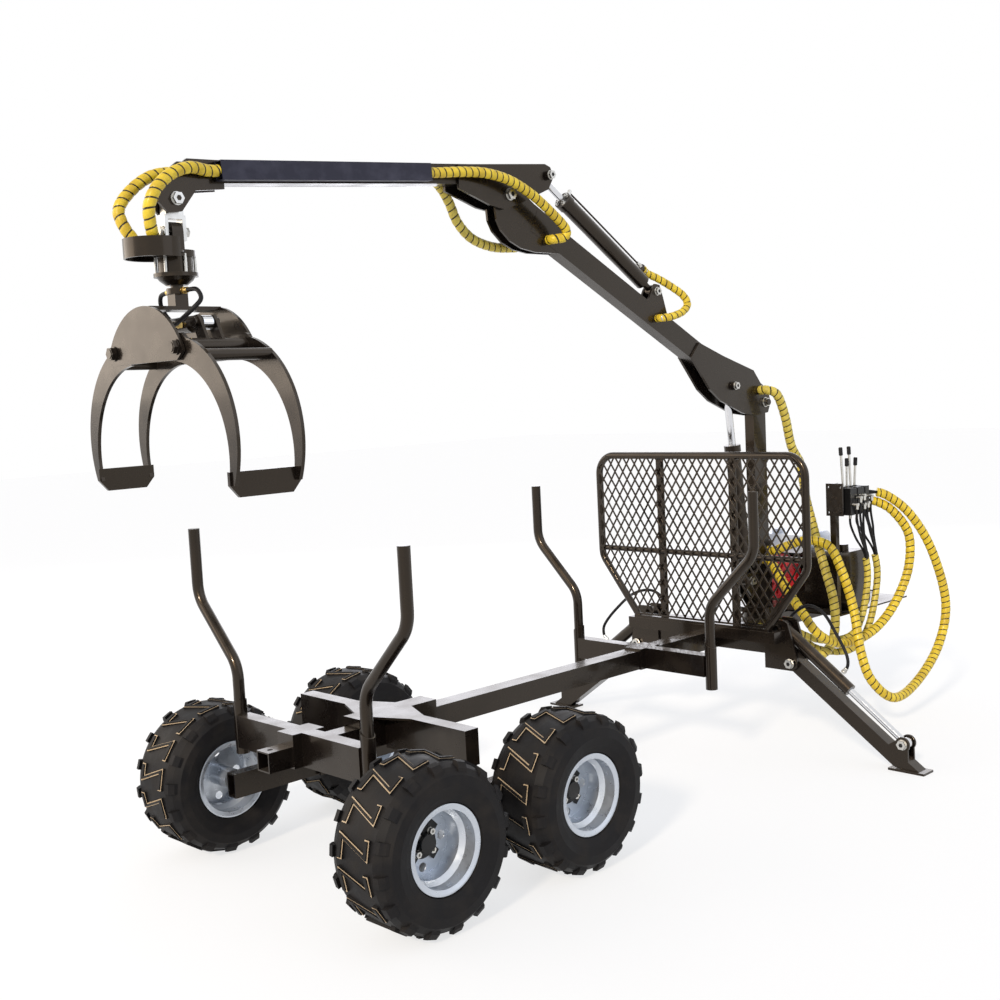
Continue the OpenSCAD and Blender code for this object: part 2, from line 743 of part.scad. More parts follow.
module jib_rod() {
  color(steel) at() rod_y(jib_cyl_foot, jib_pin, jib_barrel_len - jib_stroke - rod_hold, 30, 50, 50,
    24.4);
}

jib_w = 70;
jib_slope = 4.2;
jib_dir = [-cos(jib_slope), -sin(jib_slope)];
jib_start = elbow + [-170, 65];
jib_end = jib_start + 1150 * jib_dir;

module jib() {
  knee = [elbow + [-262, 4], elbow + [-100, -48], elbow + [-30, -58], elbow + [60, -30], elbow + [220, 35],
    elbow + [252, 85], elbow + [235, 122], elbow + [205, 132], elbow + [-260, 92]];
  nose = [tip + [175, 40], tip + [70, 28], tip + [18, -38], tip + [-30, -45], tip + [-62, -15],
    tip + [-58, 20],
    tip + [10, 98], tip + [45, 125], tip + [175, 130]];
  color(paint) at() {
    boom_tube(jib_start, jib_end, jib_h, jib_w, wall);
    pair_y(knee, jib_w / 2 - 2, 12);
    pair_y(nose, jib_w / 2 - 11, 10);
    boss_y(elbow, 30, 120);
    boss_y(tip, 25, 100);
    for (s = [-1, 1]) translate([jib_pin[0], s * 48, jib_pin[1]]) rotate([90, 0, 0])
      cylinder(h = 22, d = 36, center = true);
  }
}

cover_w = wrap_d + 2;

// Channels along both sides of the jib that hold its hoses
module hose_cover() {
  a = jib_start + 250 * jib_dir;
  color(rubber) at() for (s = [-1, 1])
    translate([0, s * (jib_w + cover_w) / 2, 0]) boom_tube(a, a + 880 * jib_dir, jib_h - 10, cover_w, 3);
}

module tip_link() {
  color(silver) at() {
    difference() {
      union() {
        boss_y(tip, 62, 36);
        translate([tip[0] - 31, -18, tip[1] - 60]) cube([62, 36, 60]);
        for (s = [-1, 1]) translate([tip[0] + s * 31 - 6, -18, rotor_z - 28])
          cube([12, 36, link_drop - 20]);
      }
      boss_y(tip, 25.1, 60);
    }
    translate([tip[0] - 50, 0, rotor_z]) rotate([0, 90, 0]) cylinder(h = 100, d = 22);
  }
}

module rotator() {
  color(paint) at() {
    difference() {
      union() {
        translate([tip[0] - 19, -30, rotor_z - 60]) cube([38, 60, 60]);
        translate([tip[0] - 19, 0, rotor_z]) rotate([0, 90, 0]) cylinder(h = 38, d = 60);
      }
      translate([tip[0] - 20, 0, rotor_z]) rotate([0, 90, 0]) cylinder(h = 40, d = 22.1);
    }
    translate([tip[0], 0, rotor_z - 165]) rotate_extrude()
      polygon([[20.05, 0], [34, 0], [52, 14], [60, 25], [69, 25], [69, 37], [54, 37], [54, 85],
        [64, 85], [64, 105],
        [0, 105], [0, 70], [20.05, 70]]);
    translate([tip[0] - guard_shift, 0, rotor_z - 85]) difference() {
      cylinder(h = 60, r = guard_r);
      translate([0, 0, -1]) cylinder(h = 62, r = guard_r - 6);
      translate([40, -200, -1]) cube([200, 400, 62]);
    }
    translate([tip[0] - guard_shift, 0, rotor_z - 70]) cylinder(h = 6, r = guard_r - 3);
  }
}

frame_r = 248;

module grapple_frame() {
  g = grapple_half;
  low = tong_pivot_z - 38;
  color(paint) at() {
    translate([tip[0], 0, frame_top + 20]) cylinder(h = rotor_z - 100 - frame_top - 20, d = 40);
    translate([tip[0], 0, frame_top + 38]) cylinder(h = 18, d = 66);
    translate([tip[0] - 23, -23, frame_top - 6]) cube([46, 46, 45]);
    translate([tip[0] - g, -45, frame_top - 14]) cube([2 * g, 90, 12]);
    for (s = [-1, 1]) translate([tip[0] + s * g - 5, 0, 0]) rotate([90, 0, 90]) linear_extrude(10)
      intersection() {
      translate([0, frame_top - frame_r]) circle(r = frame_r, $fn = 96);
      polygon([[-tong_pivot_y, low], [tong_pivot_y, low], [tong_pivot_y + 42, low + 30],
        [tong_pivot_y + 42, frame_top + 1],
        [-tong_pivot_y - 42, frame_top + 1], [-tong_pivot_y - 42, low + 30]]);
    }
    for (s = [-1, 1]) translate([tip[0] - g - 25, s * tong_pivot_y, tong_pivot_z]) rotate([0, 90, 0])
      cylinder(h = 2 * g + 50, d = 30);
  }
}

// Tong at the left side; w is its overall width
module tong(w) {
  x = tip[0];
  p = [tong_pivot_y, tong_pivot_z];
  lug = [p + [-26, 0], p + [26, 0], cyl_pin + [22, 8], cyl_pin + [10, 24], cyl_pin + [-12, 22],
    cyl_pin + [-24, 4]];
  difference() {
    union() {
      for (s = [-1, 1]) translate([x + s * (w / 2 - 6) - 6, 0, 0]) {
        intersection() {
          difference() {
            translate([0, p[0] - 40, p[1] - 280]) rotate([0, 90, 0]) cylinder(h = 12, r = 315, $fn = 96);
            translate([-1, p[0] - 59.7, p[1] - 328.8]) rotate([0, 90, 0]) cylinder(h = 14, r = 290,
              $fn = 96);
          }
          translate([-1, p[0] - 40, tong_tip_z]) cube([14, 400, 600]);
        }
        translate([0, p[0], p[1]]) rotate([0, 90, 0]) cylinder(h = 12, d = 84);
      }
      translate([x - w / 2 + 6, p[0], p[1]]) rotate([0, 90, 0]) cylinder(h = w - 12, d = 52);
      for (s = [-1, 1]) plate_x(lug, x + s * 27 - 5, 10);
    }
    translate([x - w / 2 - 1, p[0], p[1]]) rotate([0, 90, 0]) cylinder(h = w + 2, d = 30.1);
  }
  translate([x - w / 2 + 6, p[0] + 130, p[1] - 30]) rotate([0, 90, 0]) cylinder(h = w - 12, d = 36);
  plate_y([[x - w / 2 - 6, tong_tip_z + 40], [x - w / 2 - 6, tong_tip_z], [x - w / 2 + 25, tong_tip_z - 35],
    [x + w / 2 - 25, tong_tip_z - 35], [x + w / 2 + 6, tong_tip_z], [x + w / 2 + 6,
      tong_tip_z + 40]], p[0] + 222, 12);
}

cyl_pin = [tong_pivot_y - 40, tong_pivot_z + 75];

module tong_left() {
  color(paint) at() {
    tong(tong_narrow);
    translate([tip[0] - 40, cyl_pin[0], cyl_pin[1]]) rotate([0, 90, 0]) cylinder(h = 80, d = 24);
  }
}

module tong_right() {
  color(paint) at() mirror([0, 1, 0]) {
    tong(tong_wide);
    for (s = [-1, 1]) translate([tip[0] + s * 36 - 6, cyl_pin[0], cyl_pin[1]]) rotate([0, 90, 0])
      cylinder(h = 12, d = 32);
  }
}

module grapple_barrel() {
  color(paint) at() difference() {
    union() {
      bar([tip[0], cyl_pin[0] - 15, cyl_pin[1]], [tip[0], cyl_pin[0] - 40, cyl_pin[1]], 32);
      bar([tip[0], cyl_pin[0] - 35, cyl_pin[1]], [tip[0], -80, cyl_pin[1]], 52);
      translate([tip[0] - 17, cyl_pin[0], cyl_pin[1]]) rotate([0, 90, 0]) cylinder(h = 34, d = 44);
    }
    translate([tip[0] - 18, cyl_pin[0], cyl_pin[1]]) rotate([0, 90, 0]) cylinder(h = 36, d = 24.1);
    bar([tip[0], 104, cyl_pin[1]], [tip[0], -81, cyl_pin[1]], 28.1);
  }
}

module grapple_rod() {
  color(steel) at() difference() {
    union() {
      bar([tip[0], 64, cyl_pin[1]], [tip[0], -cyl_pin[0] + 15, cyl_pin[1]], 28);
      translate([tip[0] - 17, -cyl_pin[0], cyl_pin[1]]) rotate([0, 90, 0]) cylinder(h = 34, d = 44);
    }
    translate([tip[0] - 18, -cyl_pin[0], cyl_pin[1]]) rotate([0, 90, 0]) cylinder(h = 36, d = 24.1);
  }
}

// Point on a smooth run through the points p, at the share u of its stretch i
function smooth(p, i, u) =
  let (a = p[max(i - 1, 0)], b = p[i], c = p[i + 1], d = p[min(i + 2, len(p) - 1)])
  b + 0.5 * u * (c - a + u * (2 * a - 5 * b + 4 * c - d + u * (3 * b - a - 3 * c + d)));

// Round hose along the points p; ring is the direction that its rings are turned from
module hose(p, d, ring) {
  sides = 10;
  q = concat([for (i = [0:len(p) - 2], k = [0:1]) smooth(p, i, k / 2)], [p[len(p) - 1]]);
  n = len(q);
  points = [for (i = [0:n - 1])
    let (
      run = i == 0 ? p[1] - p[0] : i == n - 1 ? p[len(p) - 1] - p[len(p) - 2] : q[i + 1] - q[i - 1],
      t = unit(run),
      e = unit(cross(t, ring)),
      f = cross(t, e)
    )
    for (k = [0:sides - 1]) q[i] + d / 2 * (cos(360 * k / sides) * e + sin(360 * k / sides) * f)];
  walls = [for (i = [0:n - 2], k = [0:sides - 1])
    [i * sides + k, (i + 1) * sides + k, (i + 1) * sides + (k + 1) % sides, i * sides + (k + 1) % sides]];
  ends = [[for (k = [0:sides - 1]) k], [for (k = [sides - 1:-1:0]) (n - 1) * sides + k]];
  polyhedron(points, concat(walls, ends));
}

loop_outer = [[2753, -350, 1090], [2800, -350, 1090], [2872, -412, 1066], [2945, -500, 965],
  [3020, -570, 780], [3090, -600, 520], [3010, -600, 320], [2790, -600, 180], [2570, -600, 145],
  [2460, -550, 240], [2455, -500, 370], [2500, -440, 560], [2500, -390, 720], [2500, -320, 850],
  [2475, -220, 880], [2430, -120, 850], [2410, -75, 830], [2410, -35.3, 830]];
loop_inner = [[2753, -310, 1050], [2796, -310, 1050], [2852, -365, 1036], [2900, -430, 985],
  [2940, -490, 870], [2915, -500, 710], [2830, -480, 560], [2720, -450, 455], [2570, -425, 405],
  [2390, -420, 415], [2260, -395, 480], [2245, -320, 580], [2290, -215, 670], [2340, -120, 755],
  [2360, -72, 790], [2360, -35.3, 790]];
post_run = [[2590, -130.1, 1139.4], [2590, -143, 1060], [2568, -185, 960], [2530, -240, 850],
  [2505, -290, 740], [2490, -340, 600], [2475, -355, 480], [2440, -350, 390], [2370, -330, 350],
  [2300, -280, 370], [2275, -200, 435], [2275, -105, 470], [2275, -40.3, 470]];
boom_run = [[2375, -40.3, 1605], [2375, -82, 1605], [2412, -112, 1580], [2462, -118, 1480],
  [2520, -112, 1330], [2590, -113.75, 1240], [2590, -130, 1140]];
elbow_near = [[323, -55, 2460], [370, -55, 2463.4], [470, -72, 2472], [580, -86, 2474],
  [700, -90, 2456], [820, -90, 2410], [930, -90, 2345], [1000, -90, 2292], [1000, -84, 2260],
  [962, -64, 2252], [962, -30.3, 2252]];
elbow_far = [[323, 55, 2460], [370, 55, 2463.4], [445, 66, 2462], [500, 77, 2435], [545, 85, 2385],
  [585, 88, 2315], [655, 88, 2258], [755, 84, 2230], [850, 74, 2228], [905, 60, 2234],
  [905, 30.3, 2234]];
tip_near = [[-556, -55, 2395], [-595, -55, 2392.2], [-668, -70, 2394], [-738, -78, 2368],
  [-792, -80, 2322], [-818, -74, 2265], [-806, -56, 2205], [-790, -45, 2170], [-790, -45, 2141.4]];
tip_far = [[-556, 55, 2395], [-595, 55, 2392.2], [-660, 64, 2398], [-730, 72, 2380], [-795, 77, 2332],
  [-838, 74, 2275], [-834, 58, 2222], [-811, 42, 2175], [-811, 42, 2141.4]];
valve_run_a = [[2660, -340, 992.7], [2660, -340, 940], [2690, -350, 870], [2745, -365, 780],
  [2755, -368, 650], [2700, -362, 480], [2620, -340, 400], [2500, -250, 395], [2425, -130, 455],
  [2410, -85, 470], [2410, -40.3, 470]];
valve_run_b = [[2720, -340, 992.7], [2720, -340, 940], [2765, -355, 875], [2825, -370, 780],
  [2835, -374, 640], [2750, -370, 430], [2640, -330, 330], [2530, -215, 345], [2475, -120, 440],
  [2460, -80, 475], [2460, -40.3, 475]];
leg_run = [[2055.3, 340, 545], [2082, 340, 545], [2106, 372, 598], [2100, 452, 640], [2072, 545, 618],
  [2036, 628, 540], [2014, 688, 462], [2010, 695.9, 412.4], [2010, 673.5, 380.2]];
jib_cylinder_run = [[1583.6, 0, 2158.1], [1609.6, 0, 2141.2], [1660, -18, 2118], [1715, -42, 2085],
  [1772, -64, 2045], [1785, -78, 2005], [1745, -84, 1972], [1680, -80, 1952], [1630, -62, 1945],
  [1630, -30.3, 1945]];
grapple_right = [[0, -33.4, 47], [0, -72, 47], [-4, -122, 42], [-12, -155, 12], [-38, -152, -16],
  [-56, -122, -42], [-58, -82, -58], [-52, -54, -60], [-26.4, -54, -60]];
grapple_left = [[0, 33.4, 47], [0, 72, 47], [4, 110, 40], [14, 130, 12], [34, 130, -24], [54, 114, -48],
  [64, 94, -58], [54, 90, -60], [26.4, 90, -60]];

module loop_hose_outer() {
  color(yellow) at() hose(loop_outer, bundle_d, [0.3, 1, 0.2]);
}

module loop_hose_inner() {
  color(yellow) at() hose(loop_inner, bundle_d, [0.3, 1, 0.2]);
}

module post_hose() {
  color(yellow) at() hose(post_run, bundle_d, [1, 0.2, 0]);
}

module boom_hose() {
  color(yellow) at() hose(boom_run, bundle_d, [1, 0.2, 0.7]);
}

module elbow_hoses() {
  color(yellow) at() {
    hose(elbow_near, wrap_d, [0.4, 0.6, 1]);
    hose(elbow_far, wrap_d, [0.4, -0.6, 1]);
  }
}

module tip_hoses() {
  color(yellow) at() {
    hose(tip_near, wrap_d, [0.1, 1, 0]);
    hose(tip_far, wrap_d, [0.1, 1, 0]);
  }
}

module valve_hoses() {
  color(yellow) at() {
    hose(valve_run_a, wrap_d - 4, [1, 0.4, 0]);
    hose(valve_run_b, wrap_d - 4, [1, 0.4, 0]);
  }
}

module leg_hose(s) {
  color(rubber) at() side(s) hose(leg_run, hose_d, [1, -0.5, 1]);
}

module jib_cylinder_hose() {
  color(yellow) at() hose(jib_cylinder_run, wrap_d - 4, [0.2, 0.6, 1]);
}

module grapple_hoses() {
  color(rubber) at() translate([tip[0], 0, frame_top]) {
    hose(grapple_right, hose_d, [1, 0, 1]);
    hose(grapple_left, hose_d, [1, 0, 1]);
  }
}

main_beam();
rear_tube();
bogie_cross();
walking_beam(1);  // walking_beam_left
walking_beam(-1);  // walking_beam_right
rear_bunk();
front_bunk();
rear_stakes();
front_stakes();
crane_base();
headboard_frame();
headboard_mesh();
drawbar();
engine_block();
engine_cover();
fuel_tank();
hydraulic_tank();
valve_stand();
control_valve();
valve_levers();
tyre(1, -1);  // tyre_rear_left
tyre(-1, -1);  // tyre_rear_right
tyre(1, 1);  // tyre_front_left
tyre(-1, 1);  // tyre_front_right
wheel(1, -1);  // wheel_rear_left
wheel(-1, -1);  // wheel_rear_right
wheel(1, 1);  // wheel_front_left
wheel(-1, 1);  // wheel_front_right
leg(1);  // leg_left
leg(-1);  // leg_right
leg_barrel(1);  // leg_barrel_left
leg_barrel(-1);  // leg_barrel_right
leg_rod(1);  // leg_rod_left
leg_rod(-1);  // leg_rod_right
crane_post();
lift_barrel();
lift_rod();
main_boom();
jib_barrel();
jib_rod();
jib();
hose_cover();
tip_link();
rotator();
grapple_frame();
tong_left();
tong_right();
grapple_barrel();
grapple_rod();
loop_hose_outer();
loop_hose_inner();
post_hose();
boom_hose();
elbow_hoses();
tip_hoses();
valve_hoses();
leg_hose(1);  // leg_hose_left
leg_hose(-1);  // leg_hose_right
jib_cylinder_hose();
grapple_hoses();
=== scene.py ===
# %% [markdown]
# # Dressing a log trailer with a crane
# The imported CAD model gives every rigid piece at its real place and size. This lesson adds what the
# solids leave out: enamel, rubber, chrome, the wrapped hydraulic hoses, nuts and fittings, light and camera.
# All lengths are metres in the model's own frame: X forward, Y left, Z up. The CAD solids could have been
# modelled again by hand, but then they would no longer agree with the joints, so they are loaded as they are.

# %% Load the frame
import json
import math

import bpy
from mathutils import Matrix, Vector


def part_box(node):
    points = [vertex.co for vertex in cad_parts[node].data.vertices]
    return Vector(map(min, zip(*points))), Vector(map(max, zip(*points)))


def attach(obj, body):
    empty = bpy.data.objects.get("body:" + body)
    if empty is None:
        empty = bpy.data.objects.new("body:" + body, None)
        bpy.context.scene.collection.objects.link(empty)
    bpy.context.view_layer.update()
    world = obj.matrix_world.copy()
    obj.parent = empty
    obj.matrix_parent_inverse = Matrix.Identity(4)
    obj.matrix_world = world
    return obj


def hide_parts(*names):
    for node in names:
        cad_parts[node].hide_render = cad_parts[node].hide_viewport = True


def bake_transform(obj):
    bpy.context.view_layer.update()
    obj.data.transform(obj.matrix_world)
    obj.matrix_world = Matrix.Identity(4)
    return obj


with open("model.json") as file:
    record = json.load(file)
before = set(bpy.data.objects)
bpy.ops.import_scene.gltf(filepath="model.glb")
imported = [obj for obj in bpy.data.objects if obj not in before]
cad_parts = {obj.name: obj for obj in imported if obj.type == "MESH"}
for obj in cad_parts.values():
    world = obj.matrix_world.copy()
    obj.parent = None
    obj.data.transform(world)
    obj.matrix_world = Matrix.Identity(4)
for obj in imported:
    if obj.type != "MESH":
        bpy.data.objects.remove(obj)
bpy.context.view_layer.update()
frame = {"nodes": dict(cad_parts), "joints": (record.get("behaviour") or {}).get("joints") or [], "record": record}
scene = bpy.context.scene
joint_at = {j["name"]: Vector(j["pos_m"]) for j in frame["joints"] if "pos_m" in j}

# %% [markdown]
# ## Where things are
# The trailer was measured from the middle of its bogie, half way between the four tyres, at ground level.
# `row` moves such a point into the model's frame. The crane's pins could be typed in as well, but they are
# joints, so their places are read from the frame and the nuts stay on them if the crane changes.

# %% Places
BOGIE_X = (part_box("tyre_rear_left")[0].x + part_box("tyre_front_left")[1].x) / 2


def row(p):
    """A point in millimetres from the bogie's centre, as metres in the model's frame."""
    return Vector((p[0] / 1000 + BOGIE_X, p[1] / 1000, p[2] / 1000))


ELBOW = joint_at["jib_fold"]
JIB_PIN = ELBOW + Vector((0.220, 0, 0.089))
LIFT_PIN = joint_at["boom_lift"] + Vector((-0.254, 0, 0.086))
ROTOR = joint_at["link_tilt"]
FRAME_TOP = ROTOR - Vector((0, 0, 0.230))
print("Bogie's centre at x =", round(BOGIE_X, 3))

# %% [markdown]
# ## Camera
# The photographer stood behind the trailer and to its right, with the lens at eye height. The camera could
# be nudged by eye, but its place, tilt and focal length were solved from the wheels, the beam and the
# headboard, whose sizes are known, so every other piece then falls where the photograph has it.

# %% Camera
CAMERA_PLACE = row((-2808, -3589, 1661))
CAMERA_RIGHT = Vector((0.71738, -0.69488, -0.04977))
CAMERA_UP = Vector((0.10031, 0.03234, 0.99446))

camera = bpy.data.objects.new("camera", bpy.data.cameras.new("camera"))
turn = Matrix((CAMERA_RIGHT, CAMERA_UP, CAMERA_RIGHT.cross(CAMERA_UP))).transposed()
camera.matrix_world = Matrix.Translation(CAMERA_PLACE) @ turn.to_4x4()
camera.data.lens = 46.11
camera.data.sensor_width = 36
camera.data.shift_x = 0.0025
camera.data.shift_y = 0.0114
camera.data.clip_end = 200
scene.collection.objects.link(camera)
scene.camera = camera
scene.view_settings.view_transform = "Standard"
print("Camera", round((CAMERA_PLACE - row((1200, 0, 900))).length, 2), "m from the trailer")


# %% [markdown]
# ## Light
# The trailer stood outdoors in a low warm sun that came from behind it. A sky picture could light it too,
# but a few plain lamps are easier to set: the sun, a weak cool one for the shaded side, and two wide soft
# lamps low to the left and beyond, whose images run as pale bands along the gloss of the black enamel.

# %% Lamps
def hex_colour(code):
    """A web colour as linear red, green, blue and alpha."""
    parts = [int(code[i : i + 2], 16) / 255 for i in (1, 3, 5)]
    return [c / 12.92 if c <= 0.04045 else ((c + 0.055) / 1.055) ** 2.4 for c in parts] + [1]


def lamp(name, kind, energy, colour, towards, **settings):
    light = bpy.data.objects.new(name, bpy.data.lights.new(name, kind))
    light.data.energy = energy
    light.data.color = hex_colour(colour)[:3]
    for key, value in settings.items():
        setattr(light.data, key, value)
    light.rotation_euler = (-Vector(towards)).to_track_quat("-Z", "Y").to_euler()
    scene.collection.objects.link(light)
    return light


lamp("sun", "SUN", 2.8, "#fff0dc", (-0.80, -0.32, 0.52), angle=0.12)
lamp("sky_side", "SUN", 0.45, "#dfe9ff", (0.30, -0.85, 0.45), angle=0.9)
# Watts, colour and direction of each wide soft lamp.
HAZE = {
    "haze_left": (260, "#ffeeda", (-0.72, 0.66, 0.34)),
    "haze_far": (150, "#f4f4ff", (0.72, 0.66, 0.30)),
}
HAZE_DISTANCE = 8
for name, (power, colour, towards) in HAZE.items():
    haze = lamp(name, "AREA", power, colour, towards, shape="RECTANGLE", size=8, size_y=4)
    haze.location = row((1200, 0, 1000)) + HAZE_DISTANCE * Vector(towards).normalized()
    haze.visible_camera = False
print("Lamps:", 2 + len(HAZE))

# %% [markdown]
# ## A way to write materials
# A material is a small graph of nodes round one shader. It could be drawn in the node editor, but written
# as code it can be read and repeated. `add` puts one node into a graph: each of its sockets takes a number,
# a colour or another node's output. What is the same all over a surface is set on the shader itself.

# %% One node, one material
def add(tree, kind, sockets=(), **settings):
    """Add one node with its settings, values and links, and give back its outputs."""
    node = tree.nodes.new(kind)
    for key, value in settings.items():
        setattr(node, key, value)
    for key, value in dict(sockets).items():
        if isinstance(value, bpy.types.NodeSocket):
            tree.links.new(value, node.inputs[key])
        else:
            node.inputs[key].default_value = value
    return node.outputs


def new_material(name, colour, roughness, **sockets):
    """A material, its shader and its graph, with the constants on the shader."""
    material = bpy.data.materials.new(name)
    material.use_nodes = True
    shader = material.node_tree.nodes["Principled BSDF"]
    shader.inputs["Base Color"].default_value = hex_colour(colour)
    shader.inputs["Roughness"].default_value = roughness
    for key, value in sockets.items():
        shader.inputs[key.replace("_", " ")].default_value = value
    return material, shader, material.node_tree


# %% [markdown]
# ## Backdrop
# The picture's background is plain white. A brighter lamp could make a floor white, but it would bleach the
# trailer too. So the white is only for rays that are seen: straight from the camera, in a mirror or through
# glass. All other light comes from a pale sky and a pale floor, which keeps part of the trailer's shadow.

# %% Sky and floor
WHITE = hex_colour("#ffffff")
FLOOR_WHITE = 0.7
FLOOR_GRIT_MM = 25


def seen_share(tree, share):
    """The share of white for a ray that is seen, and none for a ray that lights."""
    path = add(tree, "ShaderNodeLightPath")
    either = {0: path["Is Camera Ray"], 1: path["Is Glossy Ray"]}
    mirrored = add(tree, "ShaderNodeMath", either, operation="MAXIMUM")
    seen = add(tree, "ShaderNodeMath", {0: mirrored[0], 1: path["Is Transmission Ray"]}, operation="MAXIMUM")
    return add(tree, "ShaderNodeMath", {0: seen[0], 1: share}, operation="MULTIPLY")[0]


world = bpy.data.worlds.new("studio")
scene.world = world
world.use_nodes = True
tree = world.node_tree
sky = tree.nodes["Background"]
sky.inputs["Color"].default_value = hex_colour("#dfe9fc")
sky.inputs["Strength"].default_value = 0.75
white_sky = add(tree, "ShaderNodeBackground", {"Color": WHITE, "Strength": 1.0})[0]
both_skies = add(tree, "ShaderNodeMixShader", {0: seen_share(tree, 1.0), 1: sky.outputs[0], 2: white_sky})[0]
tree.links.new(both_skies, tree.nodes["World Output"].inputs["Surface"])

bpy.ops.mesh.primitive_plane_add(size=60)
floor = bpy.context.object
floor.name = "floor"
floor_material, floor_shader, tree = new_material("pale_floor", "#f0efec", 0.7)
place = add(tree, "ShaderNodeTexCoord")["Object"]
grit = add(tree, "ShaderNodeTexNoise", {"Vector": place, "Scale": 1000 / FLOOR_GRIT_MM})
relief = add(tree, "ShaderNodeBump", {"Height": grit["Fac"], "Strength": 0.03, "Distance": 0.002})
tree.links.new(relief["Normal"], floor_shader.inputs["Normal"])
white_floor = add(tree, "ShaderNodeEmission", {"Color": WHITE, "Strength": 1.0})[0]
both_floors = {0: seen_share(tree, FLOOR_WHITE), 1: floor_shader.outputs[0], 2: white_floor}
seen_floor = add(tree, "ShaderNodeMixShader", both_floors)[0]
tree.links.new(seen_floor, tree.nodes["Material Output"].inputs["Surface"])
floor.data.materials.append(floor_material)
print("White sky and floor")

# %% [markdown]
# ## Enamel
# The frame and the crane are welded steel, sprayed with black gloss enamel. On the real one the gloss is
# uneven, dust lies on what faces up, and edges are rubbed grey; the pale edges are also a painted highlight,
# and the black enamel's reflections carry a painted warm tint. A painted texture could show that, but it
# needs an unwrapped mesh; patterns that grow from the surface itself need none, and fit every piece.

# %% Enamel
PATCH_MM = 110
EDGE_MM = 3
# Real orange peel is about 1 mm from crest to crest, too fine to show here, so it is drawn at 5 mm.
PEEL_MM = 5


def worn_enamel_with_painted_light(name, colour, dust, rubbed_and_highlight, roughness, dust_share, gloss=0.40, painted_reflection_tint="#ffffff"):
    """Enamel with orange peel, cloudy gloss, dust on top, and edges pale from wear and a painted highlight."""
    coats = {"Coat_Weight": gloss * 0.8, "Coat_Roughness": 0.08, "Specular_IOR_Level": gloss}
    # The specular tint paints a colour into the reflections: on the black enamel, a painted warm reflection.
    material, shader, tree = new_material(name, colour, roughness, **coats, Specular_Tint=hex_colour(painted_reflection_tint))
    place = add(tree, "ShaderNodeTexCoord")
    in_patches = {"Vector": place["Object"], "Scale": 1000 / PATCH_MM, "Detail": 6}
    patches = add(tree, "ShaderNodeTexNoise", in_patches)["Fac"]
    facing_up = add(tree, "ShaderNodeSeparateXYZ", {0: place["Normal"]})["Z"]
    on_top = {"Value": facing_up, "From Min": 0.3, "From Max": 1.0, "To Max": dust_share}
    settled = add(tree, "ShaderNodeMapRange", on_top)["Result"]
    spread = add(tree, "ShaderNodeMapRange", {"Value": patches, "From Min": 0.35, "From Max": 0.7})["Result"]
    share = add(tree, "ShaderNodeMath", {0: settled, 1: spread}, operation="MULTIPLY")[0]
    two_colours = {0: share, 6: hex_colour(colour), 7: hex_colour(dust)}
    dusty = add(tree, "ShaderNodeMix", two_colours, data_type="RGBA")[2]
    # Pale edges: partly rubbed wear, partly a painted highlight along every edge.
    rounded = add(tree, "ShaderNodeBevel", {"Radius": EDGE_MM / 1000}, samples=4)["Normal"]
    flat = add(tree, "ShaderNodeNewGeometry")["True Normal"]
    level = add(tree, "ShaderNodeVectorMath", {0: rounded, 1: flat}, operation="DOT_PRODUCT")["Value"]
    on_edge = {"Value": level, "From Min": 0.97, "From Max": 0.75, "To Max": 0.5}
    edge = add(tree, "ShaderNodeMapRange", on_edge)["Result"]
    bare = add(tree, "ShaderNodeMath", {0: edge, 1: spread}, operation="MULTIPLY")[0]
    worn_and_highlit = add(tree, "ShaderNodeMix", {0: bare, 6: dusty, 7: hex_colour(rubbed_and_highlight)}, data_type="RGBA")[2]
    tree.links.new(worn_and_highlit, shader.inputs["Base Color"])
    cloudy = {"Value": patches, "From Min": 0.3, "From Max": 0.7,
              "To Min": roughness - 0.08, "To Max": roughness + 0.14}
    tree.links.new(add(tree, "ShaderNodeMapRange", cloudy)["Result"], shader.inputs["Roughness"])
    peel = add(tree, "ShaderNodeTexNoise", {"Vector": place["Object"], "Scale": 1000 / PEEL_MM})["Fac"]
    relief = add(tree, "ShaderNodeBump", {"Height": peel, "Strength": 0.1, "Distance": 0.0006})["Normal"]
    tree.links.new(relief, shader.inputs["Normal"])
    return material


# Gloss enamel on welded steel: deep black that mirrors the sky on top, with warm grey dust there. Its
# reflections carry a painted warm tint, and its pale edges are partly a painted highlight.
black_enamel = worn_enamel_with_painted_light("black_gloss_enamel", "#0d0a09", "#7b7268", "#4d4741", 0.25, 0.25, painted_reflection_tint="#e6c9a4")
# Satin enamel on the castings: hubs and valve stay dull and dark.
satin_enamel = worn_enamel_with_painted_light("black_satin_enamel", "#0f0f10", "#4c4a48", "#45433f", 0.42, 0.15, 0.25)
# Gloss enamel on the engine's fan cover: a clear red.
red_enamel = worn_enamel_with_painted_light("red_gloss_enamel", "#b3121c", "#c98a80", "#c46a60", 0.28, 0.20)
# Gloss enamel on the pressed fuel tank: a pale grey with soft highlights.
grey_enamel = worn_enamel_with_painted_light("pale_grey_enamel", "#c3cad6", "#d8d8d4", "#dcdcda", 0.35, 0.20)
print("Enamels: 4")

# %% [markdown]
# ## Plated and lacquered metal
# Cylinder rods are ground and hard chromed, nuts and unions are zinc plated, the grapple's unions have the
# yellow kind of zinc, and the rims are pressed steel under silver lacquer. They differ in colour and in how
# sharply they mirror, so one recipe with a cloudy roughness and a faint grain serves all four.

# %% Plated metal
CLOUD_MM = 29


